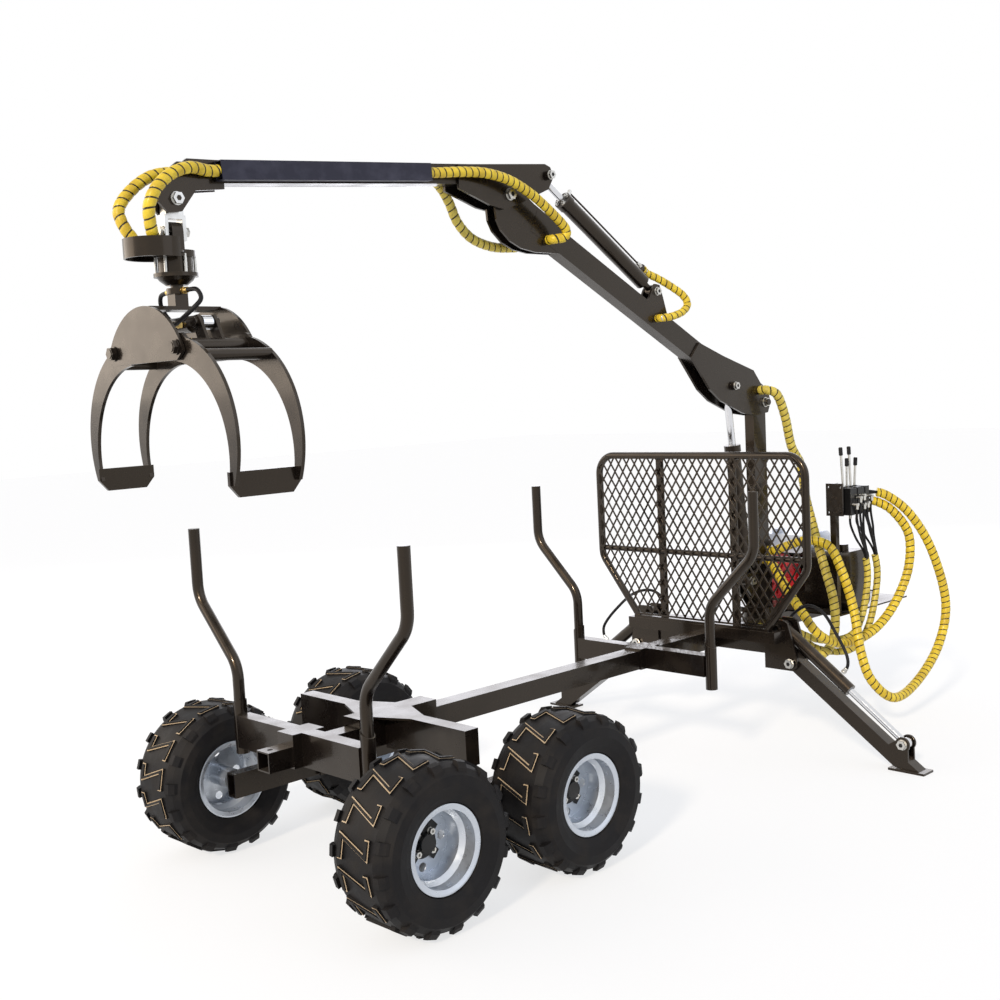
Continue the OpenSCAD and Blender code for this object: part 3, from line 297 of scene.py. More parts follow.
def plated(name, colour, roughness, grain_mm, relief_strength, metallic=1.0):
    """A metal surface with cloudy gloss and a faint grain."""
    material, shader, tree = new_material(name, colour, roughness, Metallic=metallic)
    place = add(tree, "ShaderNodeTexCoord")["Object"]
    clouds = add(tree, "ShaderNodeTexNoise", {"Vector": place, "Scale": 1000 / CLOUD_MM, "Detail": 5})["Fac"]
    gloss = {"Value": clouds, "From Min": 0.3, "From Max": 0.7,
             "To Min": roughness * 0.7, "To Max": roughness * 1.4}
    tree.links.new(add(tree, "ShaderNodeMapRange", gloss)["Result"], shader.inputs["Roughness"])
    grain = add(tree, "ShaderNodeTexNoise", {"Vector": place, "Scale": 1000 / grain_mm})["Fac"]
    raised = {"Height": grain, "Strength": relief_strength, "Distance": 0.0005}
    relief = add(tree, "ShaderNodeBump", raised)["Normal"]
    tree.links.new(relief, shader.inputs["Normal"])
    return material


# The grains are really a few hundredths of a millimetre, so they are drawn at 2 to 6 mm to show at all.
# Silver lacquer: aluminium flakes in clear binder, mostly metal to the eye.
silver_lacquer = plated("silver_aluminium_lacquer", "#c0c6ce", 0.32, 5.5, 0.08, 0.8)
# Hard chrome on a ground rod: a nearly clean mirror.
chrome = plated("hard_chrome_plate", "#d9dadd", 0.12, 1.7, 0.02)
# Bright zinc plate: pale grey, softer than chrome.
zinc = plated("bright_zinc_plate", "#c9c8c4", 0.30, 4, 0.05)
# Yellow zinc plate: the same softness with a brassy tint.
yellow_zinc = plated("yellow_zinc_plate", "#c2a768", 0.30, 4, 0.05)
print("Plated metals: 4")

# %% [markdown]
# ## Rubber
# Tyres are moulded rubber, hoses are extruded, and the cover on the jib is a smooth sleeve. All are nearly
# black and matt, with paler dust in clouds; the sleeve's blue cast, also in its clouds, is a painted sky
# reflection. Plain dark grey would do from far away, but the clouds and a skin of fine bumps are what tells
# rubber from paint.

# %% Rubber
DUST_MM = 70
# The skin's real grain is under 1 mm, so it is drawn at 3.5 mm.
SKIN_MM = 3.5


def dusty_rubber(name, colour, dust, roughness):
    """Matt rubber with dust in clouds and a fine skin."""
    material, shader, tree = new_material(name, colour, roughness, Specular_IOR_Level=0.15)
    place = add(tree, "ShaderNodeTexCoord")["Object"]
    clouds = add(tree, "ShaderNodeTexNoise", {"Vector": place, "Scale": 1000 / DUST_MM, "Detail": 6})["Fac"]
    dust_range = {"Value": clouds, "From Min": 0.45, "From Max": 0.8, "To Max": 0.6}
    share = add(tree, "ShaderNodeMapRange", dust_range)["Result"]
    two_colours = {0: share, 6: hex_colour(colour), 7: hex_colour(dust)}
    dusty = add(tree, "ShaderNodeMix", two_colours, data_type="RGBA")[2]
    tree.links.new(dusty, shader.inputs["Base Color"])
    matt = {"Value": clouds, "From Min": 0.3, "From Max": 0.7,
            "To Min": roughness - 0.1, "To Max": roughness + 0.1}
    tree.links.new(add(tree, "ShaderNodeMapRange", matt)["Result"], shader.inputs["Roughness"])
    skin = add(tree, "ShaderNodeTexNoise", {"Vector": place, "Scale": 1000 / SKIN_MM, "Detail": 3})["Fac"]
    relief = add(tree, "ShaderNodeBump", {"Height": skin, "Strength": 0.25, "Distance": 0.0008})["Normal"]
    tree.links.new(relief, shader.inputs["Normal"])
    return material


# Moulded tyre rubber: black with a soft brown bloom.
tyre_rubber = dusty_rubber("moulded_tyre_rubber", "#131213", "#2c2824", 0.55)
# The same rubber on the steps of the lugs: a thin beige outline, partly sand and partly a painted highlight
# along the lugs' edges.
sand_and_highlight_rubber = dusty_rubber("sand_and_highlight_tread_rubber", "#a8957a", "#cdbda4", 0.8)
# Extruded hose rubber: black, a little smoother.
hose_rubber = dusty_rubber("hydraulic_hose_rubber", "#18181a", "#2b2a29", 0.5)
# The moulded sleeve over the jib's hoses: black, with a blue cast in it and in its paler clouds that is a
# painted sky reflection.
sky_tinted_sleeve_rubber = dusty_rubber("moulded_sleeve_rubber", "#2a2a35", "#4a4a56", 0.42)
print("Rubbers: 4")

# %% [markdown]
# ## Spiral wrap
# The hoses are bundled in yellow polypropylene strip that is wound round them, so a dark slit runs along
# each bundle as a helix. A striped texture could fake it, but here the tubes are modelled with the groove
# and carry a map of their own: turns along U and round the tube along V. The slit's colour follows that map.

# %% Spiral wrap
WRAP_PITCH = 0.029
WRAP_GAP = 0.18
FADE_MM = 45
# Scuffs on the strip are about 1 mm wide, drawn at 4 mm.
SCUFF_MM = 4


def wound_strip(name, colour, faded):
    """Polypropylene strip with faded clouds and the dark slit between its turns."""
    material, shader, tree = new_material(name, colour, 0.38, Specular_IOR_Level=0.35)
    along = add(tree, "ShaderNodeSeparateXYZ", {0: add(tree, "ShaderNodeUVMap", uv_map="wrap")["UV"]})
    wound = add(tree, "ShaderNodeMath", {0: along["X"], 1: along["Y"]}, operation="SUBTRACT")[0]
    turn_share = add(tree, "ShaderNodeMath", {0: wound}, operation="FRACT")[0]
    slit = add(tree, "ShaderNodeMath", {0: turn_share, 1: WRAP_GAP}, operation="LESS_THAN")[0]
    place = add(tree, "ShaderNodeTexCoord")["Object"]
    noise = add(tree, "ShaderNodeTexNoise", {"Vector": place, "Scale": 1000 / FADE_MM, "Detail": 4})["Fac"]
    clouds = add(tree, "ShaderNodeMapRange", {"Value": noise, "From Min": 0.35, "From Max": 0.7})["Result"]
    two_colours = {0: clouds, 6: hex_colour(colour), 7: hex_colour(faded)}
    face = add(tree, "ShaderNodeMix", two_colours, data_type="RGBA")[2]
    strip = add(tree, "ShaderNodeMix", {0: slit, 6: face, 7: hex_colour("#2a2208")}, data_type="RGBA")[2]
    tree.links.new(strip, shader.inputs["Base Color"])
    gloss = add(tree, "ShaderNodeMapRange", {"Value": clouds, "To Min": 0.30, "To Max": 0.48})["Result"]
    tree.links.new(gloss, shader.inputs["Roughness"])
    scuffs = add(tree, "ShaderNodeTexNoise", {"Vector": place, "Scale": 1000 / SCUFF_MM})["Fac"]
    relief = add(tree, "ShaderNodeBump", {"Height": scuffs, "Strength": 0.08, "Distance": 0.0006})["Normal"]
    tree.links.new(relief, shader.inputs["Normal"])
    return material


# Fresh strip: a strong mustard yellow. Strip that has stood in the sun: paler and less red.
yellow_strip = wound_strip("yellow_polypropylene_strip", "#d6bb30", "#b79a26")
pale_strip = wound_strip("faded_polypropylene_strip", "#cbb850", "#a8963c")
print("Materials:", len(bpy.data.materials))

# %% [markdown]
# ## Where the hoses run
# Oil reaches the crane through hoses that leave the valve in two big loops, climb the post, follow the boom
# and end at the grapple. A simulation could hang them, but stiff wrapped hose keeps the bends it was fitted
# with. So each run is a given list of points in millimetres from the bogie's centre, as in the CAD.

# %% Loops at the valve
LOOP_OUTER = [(2753, -350, 1090), (2800, -350, 1090), (2872, -412, 1066), (2945, -500, 965),
              (3020, -570, 780), (3090, -600, 520), (3010, -600, 320), (2790, -600, 180), (2570, -600, 145),
              (2460, -550, 240), (2455, -500, 370), (2500, -440, 560), (2500, -390, 720), (2500, -320, 850),
              (2475, -220, 880), (2430, -120, 850), (2410, -75, 830), (2410, -35.3, 830)]
LOOP_INNER = [(2753, -310, 1050), (2796, -310, 1050), (2852, -365, 1036), (2900, -430, 985),
              (2940, -490, 870), (2915, -500, 710), (2830, -480, 560), (2720, -450, 455), (2570, -425, 405),
              (2390, -420, 415), (2260, -395, 480), (2245, -320, 580), (2290, -215, 670), (2340, -120, 755),
              (2360, -72, 790), (2360, -35.3, 790)]
VALVE_A = [(2660, -340, 992.7), (2660, -340, 940), (2690, -350, 870), (2745, -365, 780), (2755, -368, 650),
           (2700, -362, 480), (2620, -340, 400), (2500, -250, 395), (2425, -130, 455), (2410, -85, 470),
           (2410, -40.3, 470)]
VALVE_B = [(2720, -340, 992.7), (2720, -340, 940), (2765, -355, 875), (2825, -370, 780), (2835, -374, 640),
           (2750, -370, 430), (2640, -330, 330), (2530, -215, 345), (2475, -120, 440), (2460, -80, 475),
           (2460, -40.3, 475)]
print("Route points at the valve:", sum(map(len, (LOOP_OUTER, LOOP_INNER, VALVE_A, VALVE_B))))

# %% Runs along the crane
POST_RUN = [(2590, -130.1, 1139.4), (2590, -143, 1060), (2568, -185, 960), (2530, -240, 850),
            (2505, -290, 740), (2490, -340, 600), (2475, -355, 480), (2440, -350, 390), (2370, -330, 350),
            (2300, -280, 370), (2275, -200, 435), (2275, -105, 470), (2275, -40.3, 470)]
BOOM_RUN = [(2375, -40.3, 1605), (2375, -82, 1605), (2412, -112, 1580), (2462, -118, 1480),
            (2520, -112, 1330), (2590, -113.75, 1240), (2590, -130, 1140)]
JIB_CYLINDER_RUN = [(1583.6, 0, 2158.1), (1609.6, 0, 2141.2), (1660, -18, 2118), (1715, -42, 2085),
                    (1772, -64, 2045), (1785, -78, 2005), (1745, -84, 1972), (1680, -80, 1952),
                    (1630, -62, 1945), (1630, -30.3, 1945)]
ELBOW_NEAR = [(323, -55, 2460), (370, -55, 2463.4), (470, -72, 2472), (580, -86, 2474), (700, -90, 2456),
              (820, -90, 2410), (930, -90, 2345), (1000, -90, 2292), (1000, -84, 2260), (962, -64, 2252),
              (962, -30.3, 2252)]
ELBOW_FAR = [(323, 55, 2460), (370, 55, 2463.4), (445, 66, 2462), (500, 77, 2435), (545, 85, 2385),
             (585, 88, 2315), (655, 88, 2258), (755, 84, 2230), (850, 74, 2228), (905, 60, 2234),
             (905, 30.3, 2234)]
TIP_NEAR = [(-556, -55, 2395), (-595, -55, 2392.2), (-668, -70, 2394), (-738, -78, 2368), (-792, -80, 2322),
            (-818, -74, 2265), (-806, -56, 2205), (-790, -45, 2170), (-790, -45, 2141.4)]
TIP_FAR = [(-556, 55, 2395), (-595, 55, 2392.2), (-660, 64, 2398), (-730, 72, 2380), (-795, 77, 2332),
           (-838, 74, 2275), (-834, 58, 2222), (-811, 42, 2175), (-811, 42, 2141.4)]
crane_runs = (POST_RUN, BOOM_RUN, JIB_CYLINDER_RUN, ELBOW_NEAR, ELBOW_FAR, TIP_NEAR, TIP_FAR)
print("Route points on the crane:", sum(map(len, crane_runs)))

# %% Runs at the legs and the grapple
LEG_RUN = [(2055.3, 340, 545), (2082, 340, 545), (2106, 372, 598), (2100, 452, 640), (2072, 545, 618),
           (2036, 628, 540), (2014, 688, 462), (2010, 695.9, 412.4), (2010, 673.5, 380.2)]
# The grapple's two are measured from the top of its frame, because the grapple hangs on its own joints.
GRAPPLE_RIGHT = [(0, -33.4, 47), (0, -72, 47), (-4, -122, 42), (-12, -155, 12), (-38, -152, -16),
                 (-56, -122, -42), (-58, -82, -58), (-52, -54, -60), (-26.4, -54, -60)]
GRAPPLE_LEFT = [(0, 33.4, 47), (0, 72, 47), (4, 110, 40), (14, 130, 12), (34, 130, -24), (54, 114, -48),
                (64, 94, -58), (54, 90, -60), (26.4, 90, -60)]
BUNDLE_D = 0.044
WRAP_D = 0.038
SLEEVE_D = 0.034
HOSE_D = 0.014
STRAND_D = HOSE_D * 0.8
print("Thinnest hose", round(STRAND_D * 1000, 1), "mm, thickest bundle", BUNDLE_D * 1000, "mm")


# %% [markdown]
# ## Tubes
# A hose is a round tube on a smooth curve. Blender's bevelled curve would give the plain ones, but not the
# wrap's groove or a map that turns with it. So the tube is laid ring by ring: a curve through the points, a
# frame at each ring that twists as little as it can, and a radius that falls where the slit passes.

# %% A smooth run
def smooth_run(points, step):
    """Points every step or so along the smooth curve through the given points."""
    run = []
    last = len(points) - 1
    for i in range(last):
        a, b, c, d = points[max(i - 1, 0)], points[i], points[i + 1], points[min(i + 2, last)]
        count = max(2, round((c - b).length / step))
        for k in range(count):
            u = k / count
            run.append(b + 0.5 * u * (c - a + u * (2 * a - 5 * b + 4 * c - d + u * (3 * b - a - 3 * c + d))))
    return run + [points[last]]


def run_length(run):
    return sum((q - p).length for p, q in zip(run, run[1:]))


def ring_frames(run):
    """A point and two square directions at each ring, turned as little as possible."""
    frames = []
    side = None
    for i, point in enumerate(run):
        tangent = (run[min(i + 1, len(run) - 1)] - run[max(i - 1, 0)]).normalized()
        if side is None:
            side = tangent.orthogonal().normalized()
        side = (side - tangent * side.dot(tangent)).normalized()
        frames.append((point, side, tangent.cross(side)))
    return frames


# %% A tube, plain or wound
RINGS_PER_TURN = 8
PLAIN_STEP = 0.008
THIN_SIDES = 10
SLIT_RADIUS = 0.90


def strip_radius(share):
    """The strip bulges a little between two slits, as a share of the bundle's radius."""
    return SLIT_RADIUS if share < WRAP_GAP else 1 - 0.03 * (2 * share - 1.1) ** 2


def tube(name, run, diameter, material, wound=False, sides=20):
    """A round mesh tube along the run. A wound one has the strip's slit and its own map."""
    verts, faces, uvs, turns = [], [], [], []
    along = 0.0
    for i, (point, side, other) in enumerate(ring_frames(run)):
        along += (point - run[i - 1]).length if i else 0.0
        turns.append(along / WRAP_PITCH)
        for k in range(sides):
            radius = diameter / 2 * (strip_radius((turns[-1] - k / sides) % 1.0) if wound else 1)
            angle = 2 * math.pi * k / sides
            verts.append(point + radius * (math.cos(angle) * side + math.sin(angle) * other))
    for i in range(len(run) - 1):
        for k in range(sides):
            n = (k + 1) % sides
            faces.append((i * sides + k, i * sides + n, (i + 1) * sides + n, (i + 1) * sides + k))
            here, there = k / sides, (k + 1) / sides
            uvs += [(turns[i], here), (turns[i], there), (turns[i + 1], there), (turns[i + 1], here)]
    for ring in (range(sides - 1, -1, -1), range(len(verts) - sides, len(verts))):
        faces.append(tuple(ring))
        uvs += [(0.5, 0.0)] * sides
    mesh = bpy.data.meshes.new(name)
    mesh.from_pydata(verts, [], faces)
    layer = mesh.uv_layers.new(name="wrap")
    for loop, uv in zip(layer.data, uvs):
        loop.uv = uv
    mesh.shade_smooth()
    mesh.materials.append(material)
    piece = bpy.data.objects.new(name, mesh)
    scene.collection.objects.link(piece)
    return piece


# %% [markdown]
# ## A hose as a piece
# On the machine a hose is held at both ends and bends between two bodies that move. Here a piece either rides
# on one body or, when it runs between two, stays fixed where it lies. At the valve several thin hoses come
# together and go on in one wrap: the first stretch of such a run is bare, with strands that fan out to their
# own unions.

# %% A hose
hose_ends = []


def carried(piece, holder):
    """A piece rides on one body; one held between two bodies stays fixed where it lies."""
    if isinstance(holder, str):
        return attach(piece, holder)
    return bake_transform(piece)


def fanned(run, start):
    """The run, moved aside by an offset at its start and less and less towards its end."""
    moved = []
    for i, point in enumerate(run):
        share = 1 - i / (len(run) - 1)
        moved.append(point + Vector(start) * (0.12 + 0.88 * share * share * (3 - 2 * share)))
    return moved


def hose(name, route, diameter, holder, node, strip=None, bare=0.0, fan=(),
         fitted=""):
    """One free hose. With a bare stretch, thin hoses leave the valve and run on inside the wrap."""
    run = smooth_run(route, WRAP_PITCH / RINGS_PER_TURN if strip else PLAIN_STEP)
    extra = []
    if bare:
        core = tube(name, run, STRAND_D, hose_rubber, sides=THIN_SIDES)
        covered = [p for i, p in enumerate(run) if run_length(run[: i + 1]) >= bare]
        open_run = run[: len(run) - len(covered) + 4]
        extra.append(tube(name + "_wrap", covered, diameter, strip, True))
        for k, offset in enumerate(fan):
            strand_run = fanned(open_run, offset)
            extra.append(tube(f"{name}_strand_{k}", strand_run, STRAND_D, hose_rubber, sides=THIN_SIDES))
    else:
        core = tube(name, run, diameter, strip or hose_rubber, bool(strip))
    for piece in [core] + extra:
        carried(piece, holder)
        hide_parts(node)
    thickness = STRAND_D if bare else diameter
    first, second = (holder, holder) if isinstance(holder, str) else holder[:2]
    if "start" in fitted:
        for offset in ((0, 0, 0), *fan):
            hose_ends.append((first, run[0] + Vector(offset), (run[1] - run[0]).normalized(), thickness))
    if "end" in fitted:
        hose_ends.append((second, run[-1], (run[-2] - run[-1]).normalized(), diameter))


# %% Loops from the valve to the crane's foot
def placed(route):
    return [row(p) for p in route]


def across_y(first, second, y_start, y_end):
    return (first, second, (0, y_start, 0), (0, y_end, 0))


hose("loop_hose_outer_wrap", placed(LOOP_OUTER), BUNDLE_D, across_y("trailer", "crane_post", -0.22, -0.045),
     "loop_hose_outer", yellow_strip, bare=0.10,
     fan=((0, 0.020, 0.006), (0, -0.014, -0.018)), fitted="start end")
hose("loop_hose_inner_wrap", placed(LOOP_INNER), BUNDLE_D, across_y("trailer", "crane_post", -0.20, -0.045),
     "loop_hose_inner", yellow_strip, bare=0.10,
     fan=((0, 0.016, 0.012), (0, -0.010, -0.022)), fitted="start end")
FAN_A = ((-0.061, -0.074, 0.052), (-0.027, -0.074, 0.082), (0.007, -0.074, 0.048))
FAN_B = ((-0.053, -0.074, 0.090), (-0.019, -0.074, 0.052), (0.015, -0.074, 0.082))
for name, route, fan in (("valve_hose_a", VALVE_A, FAN_A), ("valve_hose_b", VALVE_B, FAN_B)):
    hose(name, placed(route), SLEEVE_D, "trailer", "valve_hoses", pale_strip, bare=0.25,
         fan=fan, fitted="start")

# %% Hoses on the crane
hose("post_hose_wrap", placed(POST_RUN), BUNDLE_D, ("crane_post", "trailer", (0, 0, 1.12), (0, 0, 0.52)),
     "post_hose", pale_strip)
hose("boom_hose_wrap", placed(BOOM_RUN), BUNDLE_D,
     ("main_boom", "crane_post", row((2390, -90, 1590)), row((2580, -130, 1160))),
     "boom_hose", pale_strip)
for name, route, strip, last_x in (("elbow_hose_near", ELBOW_NEAR, yellow_strip, 950),
                                   ("elbow_hose_far", ELBOW_FAR, pale_strip, 840)):
    hose(name, placed(route), WRAP_D, ("jib", "main_boom", row((450, 0, 2400)), row((last_x, 0, 2400))),
         "elbow_hoses", strip)
for name, route in (("tip_hose_near", TIP_NEAR), ("tip_hose_far", TIP_FAR)):
    hose(name, placed(route), WRAP_D, ("jib", "tip_link", row((-600, 0, 2400)), row((-780, 0, 2220))),
         "tip_hoses", yellow_strip)
hose("jib_cylinder_wrap", placed(JIB_CYLINDER_RUN), SLEEVE_D, "main_boom", "jib_cylinder_hose",
     yellow_strip, fitted="start end")

# %% Hoses at the legs and the grapple
for side_name, sign in (("left", 1), ("right", -1)):
    leg_route = [row((x, sign * y, z)) for x, y, z in LEG_RUN]
    hose(f"leg_hose_{side_name}_line", leg_route, HOSE_D,
         ("trailer", f"leg_barrel_{side_name}", row((2010, sign * 480, 640)), row((2010, sign * 690, 430))),
         f"leg_hose_{side_name}", fitted="start end")
for name, route in (("grapple_hose_right", GRAPPLE_RIGHT), ("grapple_hose_left", GRAPPLE_LEFT)):
    grapple_route = [FRAME_TOP + Vector(p) / 1000 for p in route]
    hose(name, grapple_route, HOSE_D, "grapple", "grapple_hoses", fitted="start end")

# %% [markdown]
# ## Finish of the CAD solids
# Most solids are of one stuff, and the record names it for each. They could be given their finish one by
# one, but a table from the record's slot to a material does it for all sixty and can't miss one.

# %% Finish of each solid
FINISH = {
    "silver_steel": silver_lacquer,
    "chrome": chrome,
    "zinc": zinc,
    "red_paint": red_enamel,
    "tank_paint": grey_enamel,
    "black_rubber": sky_tinted_sleeve_rubber,
    "tyre": tyre_rubber,
    "black_paint": black_enamel,
    "yellow_wrap": yellow_strip,
}
slot_of = {p["node"]: p["material_slot"] for p in frame["record"]["subparts"]}
for name, node in frame["nodes"].items():
    node.data.materials.clear()
    node.data.materials.append(satin_enamel if name == "control_valve" else FINISH[slot_of[name]])
print("Finished solids:", len(frame["nodes"]))


# %% [markdown]
# ## Wheels
# A real wheel is a silver rim bolted to a black hub. Round each lug of the tyre runs a thin beige outline,
# partly sand on the step and partly a painted highlight along the lug's edge. These could be separate
# pieces, but the shapes are in the solids already, so the faces are picked out by where they lie: near the
# axle for the hub, and a few millimetres below the tyre's crown for the beige outline.

# %% Hubs, and lug outlines of sand and painted highlight
HUB_R = 0.092
HUB_DEPTH = 0.0025
FACING_OUT = 0.9
TREAD_HALF = 0.078
LUG_STEP = (0.0028, 0.0072)


def finish_where(node_name, material, test):
    """Give a second material to the faces whose centre and normal pass the test."""
    mesh = frame["nodes"][node_name].data
    mesh.materials.append(material)
    chosen = [p for p in mesh.polygons if test(p.center, p.normal)]
    for face in chosen:
        face.material_index = len(mesh.materials) - 1
    return len(chosen)


WHEELS = [(f"{end}_{side}", sign) for end in ("rear", "front") for side, sign in (("left", 1), ("right", -1))]
for wheel, sign in WHEELS:
    hub = joint_at[f"wheel_{wheel}_spin"]
    low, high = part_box(f"tyre_{wheel}")
    crown = (high.x - low.x) / 2

    def on_hub(centre, normal):
        return (centre - hub).xz.length < HUB_R and sign * (centre.y - hub.y) > -HUB_DEPTH

    def on_lug_step(centre, normal):
        arm = Vector((centre.x - hub.x, 0, centre.z - hub.z))
        on_step = LUG_STEP[0] < crown - arm.length < LUG_STEP[1]
        return on_step and normal.dot(arm.normalized()) > FACING_OUT and abs(centre.y - hub.y) < TREAD_HALF

    dark = finish_where(f"wheel_{wheel}", satin_enamel, on_hub)
    # Faces on the lugs' steps get the beige outline: partly sand, partly a painted highlight on the lug edges.
    sand_and_highlight_faces = finish_where(f"tyre_{wheel}", sand_and_highlight_rubber, on_lug_step)
    print(f"wheel {wheel}: {dark} dark faces, {sand_and_highlight_faces} sandy ones")


# %% [markdown]
# ## Shapes for small hardware
# Nuts, unions and grips are turned or hexagonal. Blender's own cylinder would be a plain stand-in, so each is
# made from a profile: `turned` spins radius and height pairs about an axis, and `nut` is a hexagon with a
# washer under it and a hollow where the pin ends. Shapes of one body are joined into one piece.

# %% Turned shapes and nuts
def turned(profile, sides=24):
    """Vertices and faces of a solid of revolution about Z, from (radius, height) pairs."""
    angles = [2 * math.pi * k / sides for k in range(sides)]
    verts = [(r * math.cos(a), r * math.sin(a), z) for r, z in profile for a in angles]
    faces = []
    for i in range(len(profile) - 1):
        for k in range(sides):
            n = (k + 1) % sides
            faces.append((i * sides + k, i * sides + n, (i + 1) * sides + n, (i + 1) * sides + k))
    faces.append(tuple(range(sides - 1, -1, -1)))
    faces.append(tuple(range(len(verts) - sides, len(verts))))
    return verts, faces


def joined(first, second):
    """Two shapes as one, with the second's faces counted on from the first's vertices."""
    shift = len(first[0])
    return first[0] + second[0], first[1] + [tuple(i + shift for i in f) for f in second[1]]


def nut(flats, height):
    """A hexagon nut on a washer, with a hollow where the pin ends."""
    corner = flats / 2 / math.cos(math.pi / 6)
    bore = flats * 0.27
    rim = [(corner * math.cos(math.pi / 3 * k), corner * math.sin(math.pi / 3 * k)) for k in range(6)]
    washer = turned([(flats * 0.62, 0), (flats * 0.62, height * 0.2)])
    verts = [(x, y, height * 0.2) for x, y in rim] + [(x, y, height) for x, y in rim]
    verts += [(x * bore / corner, y * bore / corner, height) for x, y in rim]
    verts += [(x * bore / corner, y * bore / corner, height * 0.45) for x, y in rim]
    faces = [(k, (k + 1) % 6, 6 + (k + 1) % 6, 6 + k) for k in range(6)]
    faces += [(6 + k, 6 + (k + 1) % 6, 12 + (k + 1) % 6, 12 + k) for k in range(6)]
    faces += [(12 + k, 12 + (k + 1) % 6, 18 + (k + 1) % 6, 18 + k) for k in range(6)]
    faces.append(tuple(range(18, 24)))
    return joined(washer, (verts, faces))


def rod(diameter, length, edge=0.0):
    """A round bar along Z with a small chamfer at both ends."""
    r = diameter / 2
    return turned([(r - edge, 0), (r, edge), (r, length - edge), (r - edge, length)])


# %% Joining shapes on a body
def hardware(name, body, material, shapes):
    """Join many small shapes, each with its place and axis, into one piece on a body."""
    verts, faces = [], []
    for (points, polygons), place, axis in shapes:
        matrix = Matrix.Translation(place) @ Vector(axis).to_track_quat("Z", "Y").to_matrix().to_4x4()
        start = len(verts)
        verts += [matrix @ Vector(p) for p in points]
        faces += [tuple(i + start for i in f) for f in polygons]
    mesh = bpy.data.meshes.new(name)
    mesh.from_pydata(verts, [], faces)
    mesh.materials.append(material)
    piece = bpy.data.objects.new(name, mesh)
    scene.collection.objects.link(piece)
    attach(piece, body)
    print(f"{name}: {len(shapes)} shapes on {body}")


# %% [markdown]
# ## Nuts at the pins
# Every pin of the crane and the legs is held by a nut at each end, bright zinc with a dark pin in its middle.
# They could be in the CAD, but they carry nothing and only show, so they are added here, at the joints'
# own places, half a pin's length to each side. On the grapple and at the legs' upper pins they are
# painted over.

# %% Nuts at the pins
X, Y, Z = Vector((1, 0, 0)), Vector((0, 1, 0)), Vector((0, 0, 1))
LEG_FOOT_PIN = {"left": row((2010, 960, 115)), "right": row((2010, -960, 115))}
# Body, centre, axis, half length, nut across its flats, nut height, painted over.
PINS = [
    ("main_boom", joint_at["boom_lift"], Y, 0.041, 0.038, 0.018, False),
    ("main_boom", LIFT_PIN, Y, 0.055, 0.030, 0.014, False),
    ("main_boom", joint_at["jib_cylinder_swing"], Y, 0.029, 0.030, 0.014, False),
    ("jib", ELBOW, Y, 0.046, 0.038, 0.018, False),
    ("jib", JIB_PIN, Y, 0.059, 0.030, 0.014, False),
    ("jib", joint_at["link_swing"], Y, 0.035, 0.034, 0.016, False),
    ("crane_post", joint_at["lift_cylinder_swing"], Y, 0.036, 0.034, 0.016, False),
    ("tip_link", ROTOR, X, 0.038, 0.028, 0.013, False),
    ("grapple", joint_at["tong_close"], X, 0.131, 0.038, 0.017, True),
    ("grapple", joint_at["tong_right_close"], X, 0.131, 0.038, 0.017, True),
]
for side_name in ("left", "right"):
    PINS.append(("trailer", joint_at[f"leg_{side_name}_fold"], X, 0.051, 0.036, 0.015, False))
    PINS.append(("trailer", joint_at[f"leg_{side_name}_cylinder_swing"], X, 0.051, 0.032, 0.013, True))
    PINS.append((f"leg_{side_name}", LEG_FOOT_PIN[side_name], X, 0.030, 0.036, 0.014, False))

for body in dict.fromkeys(pin[0] for pin in PINS):
    bright, painted, ends = [], [], []
    for owner, centre, axis, half, flats, height, over in PINS:
        if owner != body:
            continue
        for way in (axis, -axis):
            (painted if over else bright).append((nut(flats, height), centre + half * way, way))
            ends.append((rod(flats * 0.5, height * 0.4, 0.001), centre + (half + height * 0.45) * way, way))
    if bright:
        hardware(f"{body}_pin_nuts", body, zinc, bright)
    if painted:
        hardware(f"{body}_painted_nuts", body, black_enamel, painted)
    hardware(f"{body}_pin_ends", body, satin_enamel, ends)

# %% [markdown]
# ## Wheel nuts
# Four nuts clamp each rim to its hub, on a circle of 84 mm. The same `nut` serves, in a smaller size.

# %% Wheel nuts
WHEEL_NUT_R = 0.042
WHEEL_NUT_SEAT = 0.005
for wheel, sign in WHEELS:
    hub = joint_at[f"wheel_{wheel}_spin"]
    shapes = []
    for k in range(4):
        angle = math.pi / 4 + k * math.pi / 2
        arm = Vector((math.cos(angle), 0, math.sin(angle)))
        shapes.append((nut(0.019, 0.016), hub + WHEEL_NUT_R * arm + sign * WHEEL_NUT_SEAT * Y, sign * Y))
    hardware(f"wheel_nuts_{wheel}", f"wheel_{wheel}", zinc, shapes)


# %% [markdown]
# ## Hose unions
# A hydraulic hose ends in a round ferrule crimped on it and a hexagon that screws on. `hose` has kept where
# each open end is and which way it looks, so a union is set on every one, joined body by body. At the valve
# the thin hoses hang from elbows, short stubs that come out of its face.

# %% Hose unions
UNION_D_MAX = 0.020


def union(diameter):
    """A hexagon and the round ferrule that grips the hose."""
    hexagon = turned([(diameter * 0.85, 0), (diameter * 0.85, diameter * 0.8)], 6)
    grip = [(0.66, 0.7), (0.66, 1.9), (0.56, 2.1)]
    return joined(hexagon, turned([(diameter * r, diameter * z) for r, z in grip]))


for body in dict.fromkeys(end[0] for end in hose_ends):
    own_ends = [end[1:] for end in hose_ends if end[0] == body]
    shapes = [(union(min(d, UNION_D_MAX)), place, along) for place, along, d in own_ends]
    hardware(f"{body}_hose_fittings", body, yellow_zinc if body == "grapple" else zinc, shapes)

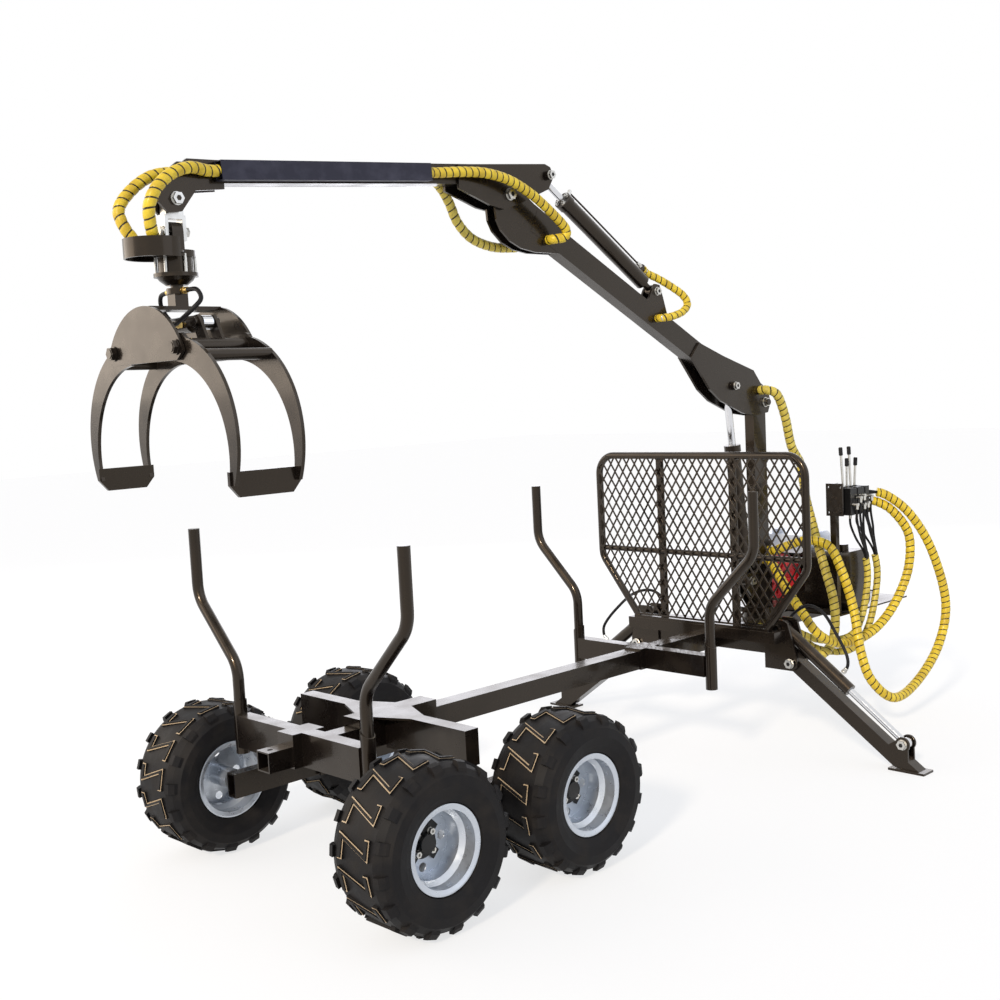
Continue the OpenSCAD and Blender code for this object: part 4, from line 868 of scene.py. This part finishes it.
VALVE_FACE_Y = -0.390
stubs = []
for route, fan in ((VALVE_A, FAN_A), (VALVE_B, FAN_B)):
    for offset in fan:
        mouth = row(route[0]) + Vector(offset)
        stub = rod(0.015, VALVE_FACE_Y - mouth.y + 0.009, 0.002)
        stubs.append((stub, Vector((mouth.x, VALVE_FACE_Y, mouth.z)), -Y))
hardware("valve_elbows", "trailer", zinc, stubs)

# %% [markdown]
# ## Pipe along the jib's cylinder
# Oil reaches the rod end of the jib's cylinder through a thin steel pipe along its barrel, and four nuts hold
# the gland. Both ride on the barrel. The pipe is one more tube on a smooth run, so it needs no new tool.

# %% Pipe along the jib's cylinder
PIPE_D = 0.008
PIPE_UP = 0.052
PIPE_UNION_D = 0.013
GLAND_TO_PIN = 0.150
GLAND_NUT_R = 0.024
foot_pin = joint_at["jib_cylinder_swing"]
along = (JIB_PIN - foot_pin).normalized()
up = Vector((-along.z, 0, along.x)) * (1 if along.x > 0 else -1)
gland = (JIB_PIN - foot_pin).length - GLAND_TO_PIN
# Each bend's distance along the barrel and out from its middle.
bends = ((0.118, PIPE_UP), (0.16, PIPE_UP), (gland - 0.07, PIPE_UP),
         (gland - 0.022, 0.047), (gland - 0.018, 0.031))
pipe_run = [foot_pin + along * a + up * b for a, b in bends]
pipe = tube("jib_cylinder_pipe", smooth_run(pipe_run, 0.01), PIPE_D, black_enamel, sides=THIN_SIDES)
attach(pipe, "jib_barrel")
pipe_union = union(PIPE_UNION_D)
shapes = [(pipe_union, pipe_run[0], along), (pipe_union, pipe_run[-1] + 0.003 * up, up)]
for angle in (45, 135, 225, 315):
    across = math.cos(math.radians(angle)) * up + math.sin(math.radians(angle)) * Y
    shapes.append((nut(0.015, 0.010), foot_pin + along * gland + across * GLAND_NUT_R, along))
hardware("jib_cylinder_hardware", "jib_barrel", zinc, shapes)

# %% [markdown]
# ## Rotator bolts and lever grips
# Six tie bolts hold the rotator's body together, and each of the valve's four levers ends in a rubber grip.
# The levers lean each its own way, so every grip is set by its lever's own vertices, from foot to head.

# %% Rotator bolts and lever grips
BOLTS = 6
BOLT_R = 0.060
shapes = []
for k in range(BOLTS):
    angle = math.pi / 6 + k * math.pi / 3
    arm = Vector((math.cos(angle), math.sin(angle), 0)) * BOLT_R
    shapes.append((rod(0.010, 0.062), ROTOR + arm - Vector((0, 0, 0.134)), Z))
hardware("rotator_bolts", "rotator", zinc, shapes)

LEVERS = 4
GRIP_D = 0.019
GRIP_LENGTH = 0.040
GRIP_BACK = 0.041
low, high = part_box("valve_levers")
shapes = []
for i in range(LEVERS):
    middle = low.x + 0.006 + (high.x - low.x - 0.012) * i / (LEVERS - 1)
    stick = [v.co for v in frame["nodes"]["valve_levers"].data.vertices if abs(v.co.x - middle) < 0.008]
    top = max(c.z for c in stick)
    upper = [c for c in stick if c.z > top - 0.01]
    lower = [c for c in stick if c.z < low.z + 0.01]
    head = sum(upper, Vector()) / len(upper)
    lean = (head - sum(lower, Vector()) / len(lower)).normalized()
    shapes.append((rod(GRIP_D, GRIP_LENGTH, 0.003), head - GRIP_BACK * lean, lean))
hardware("lever_grips", "trailer", hose_rubber, shapes)
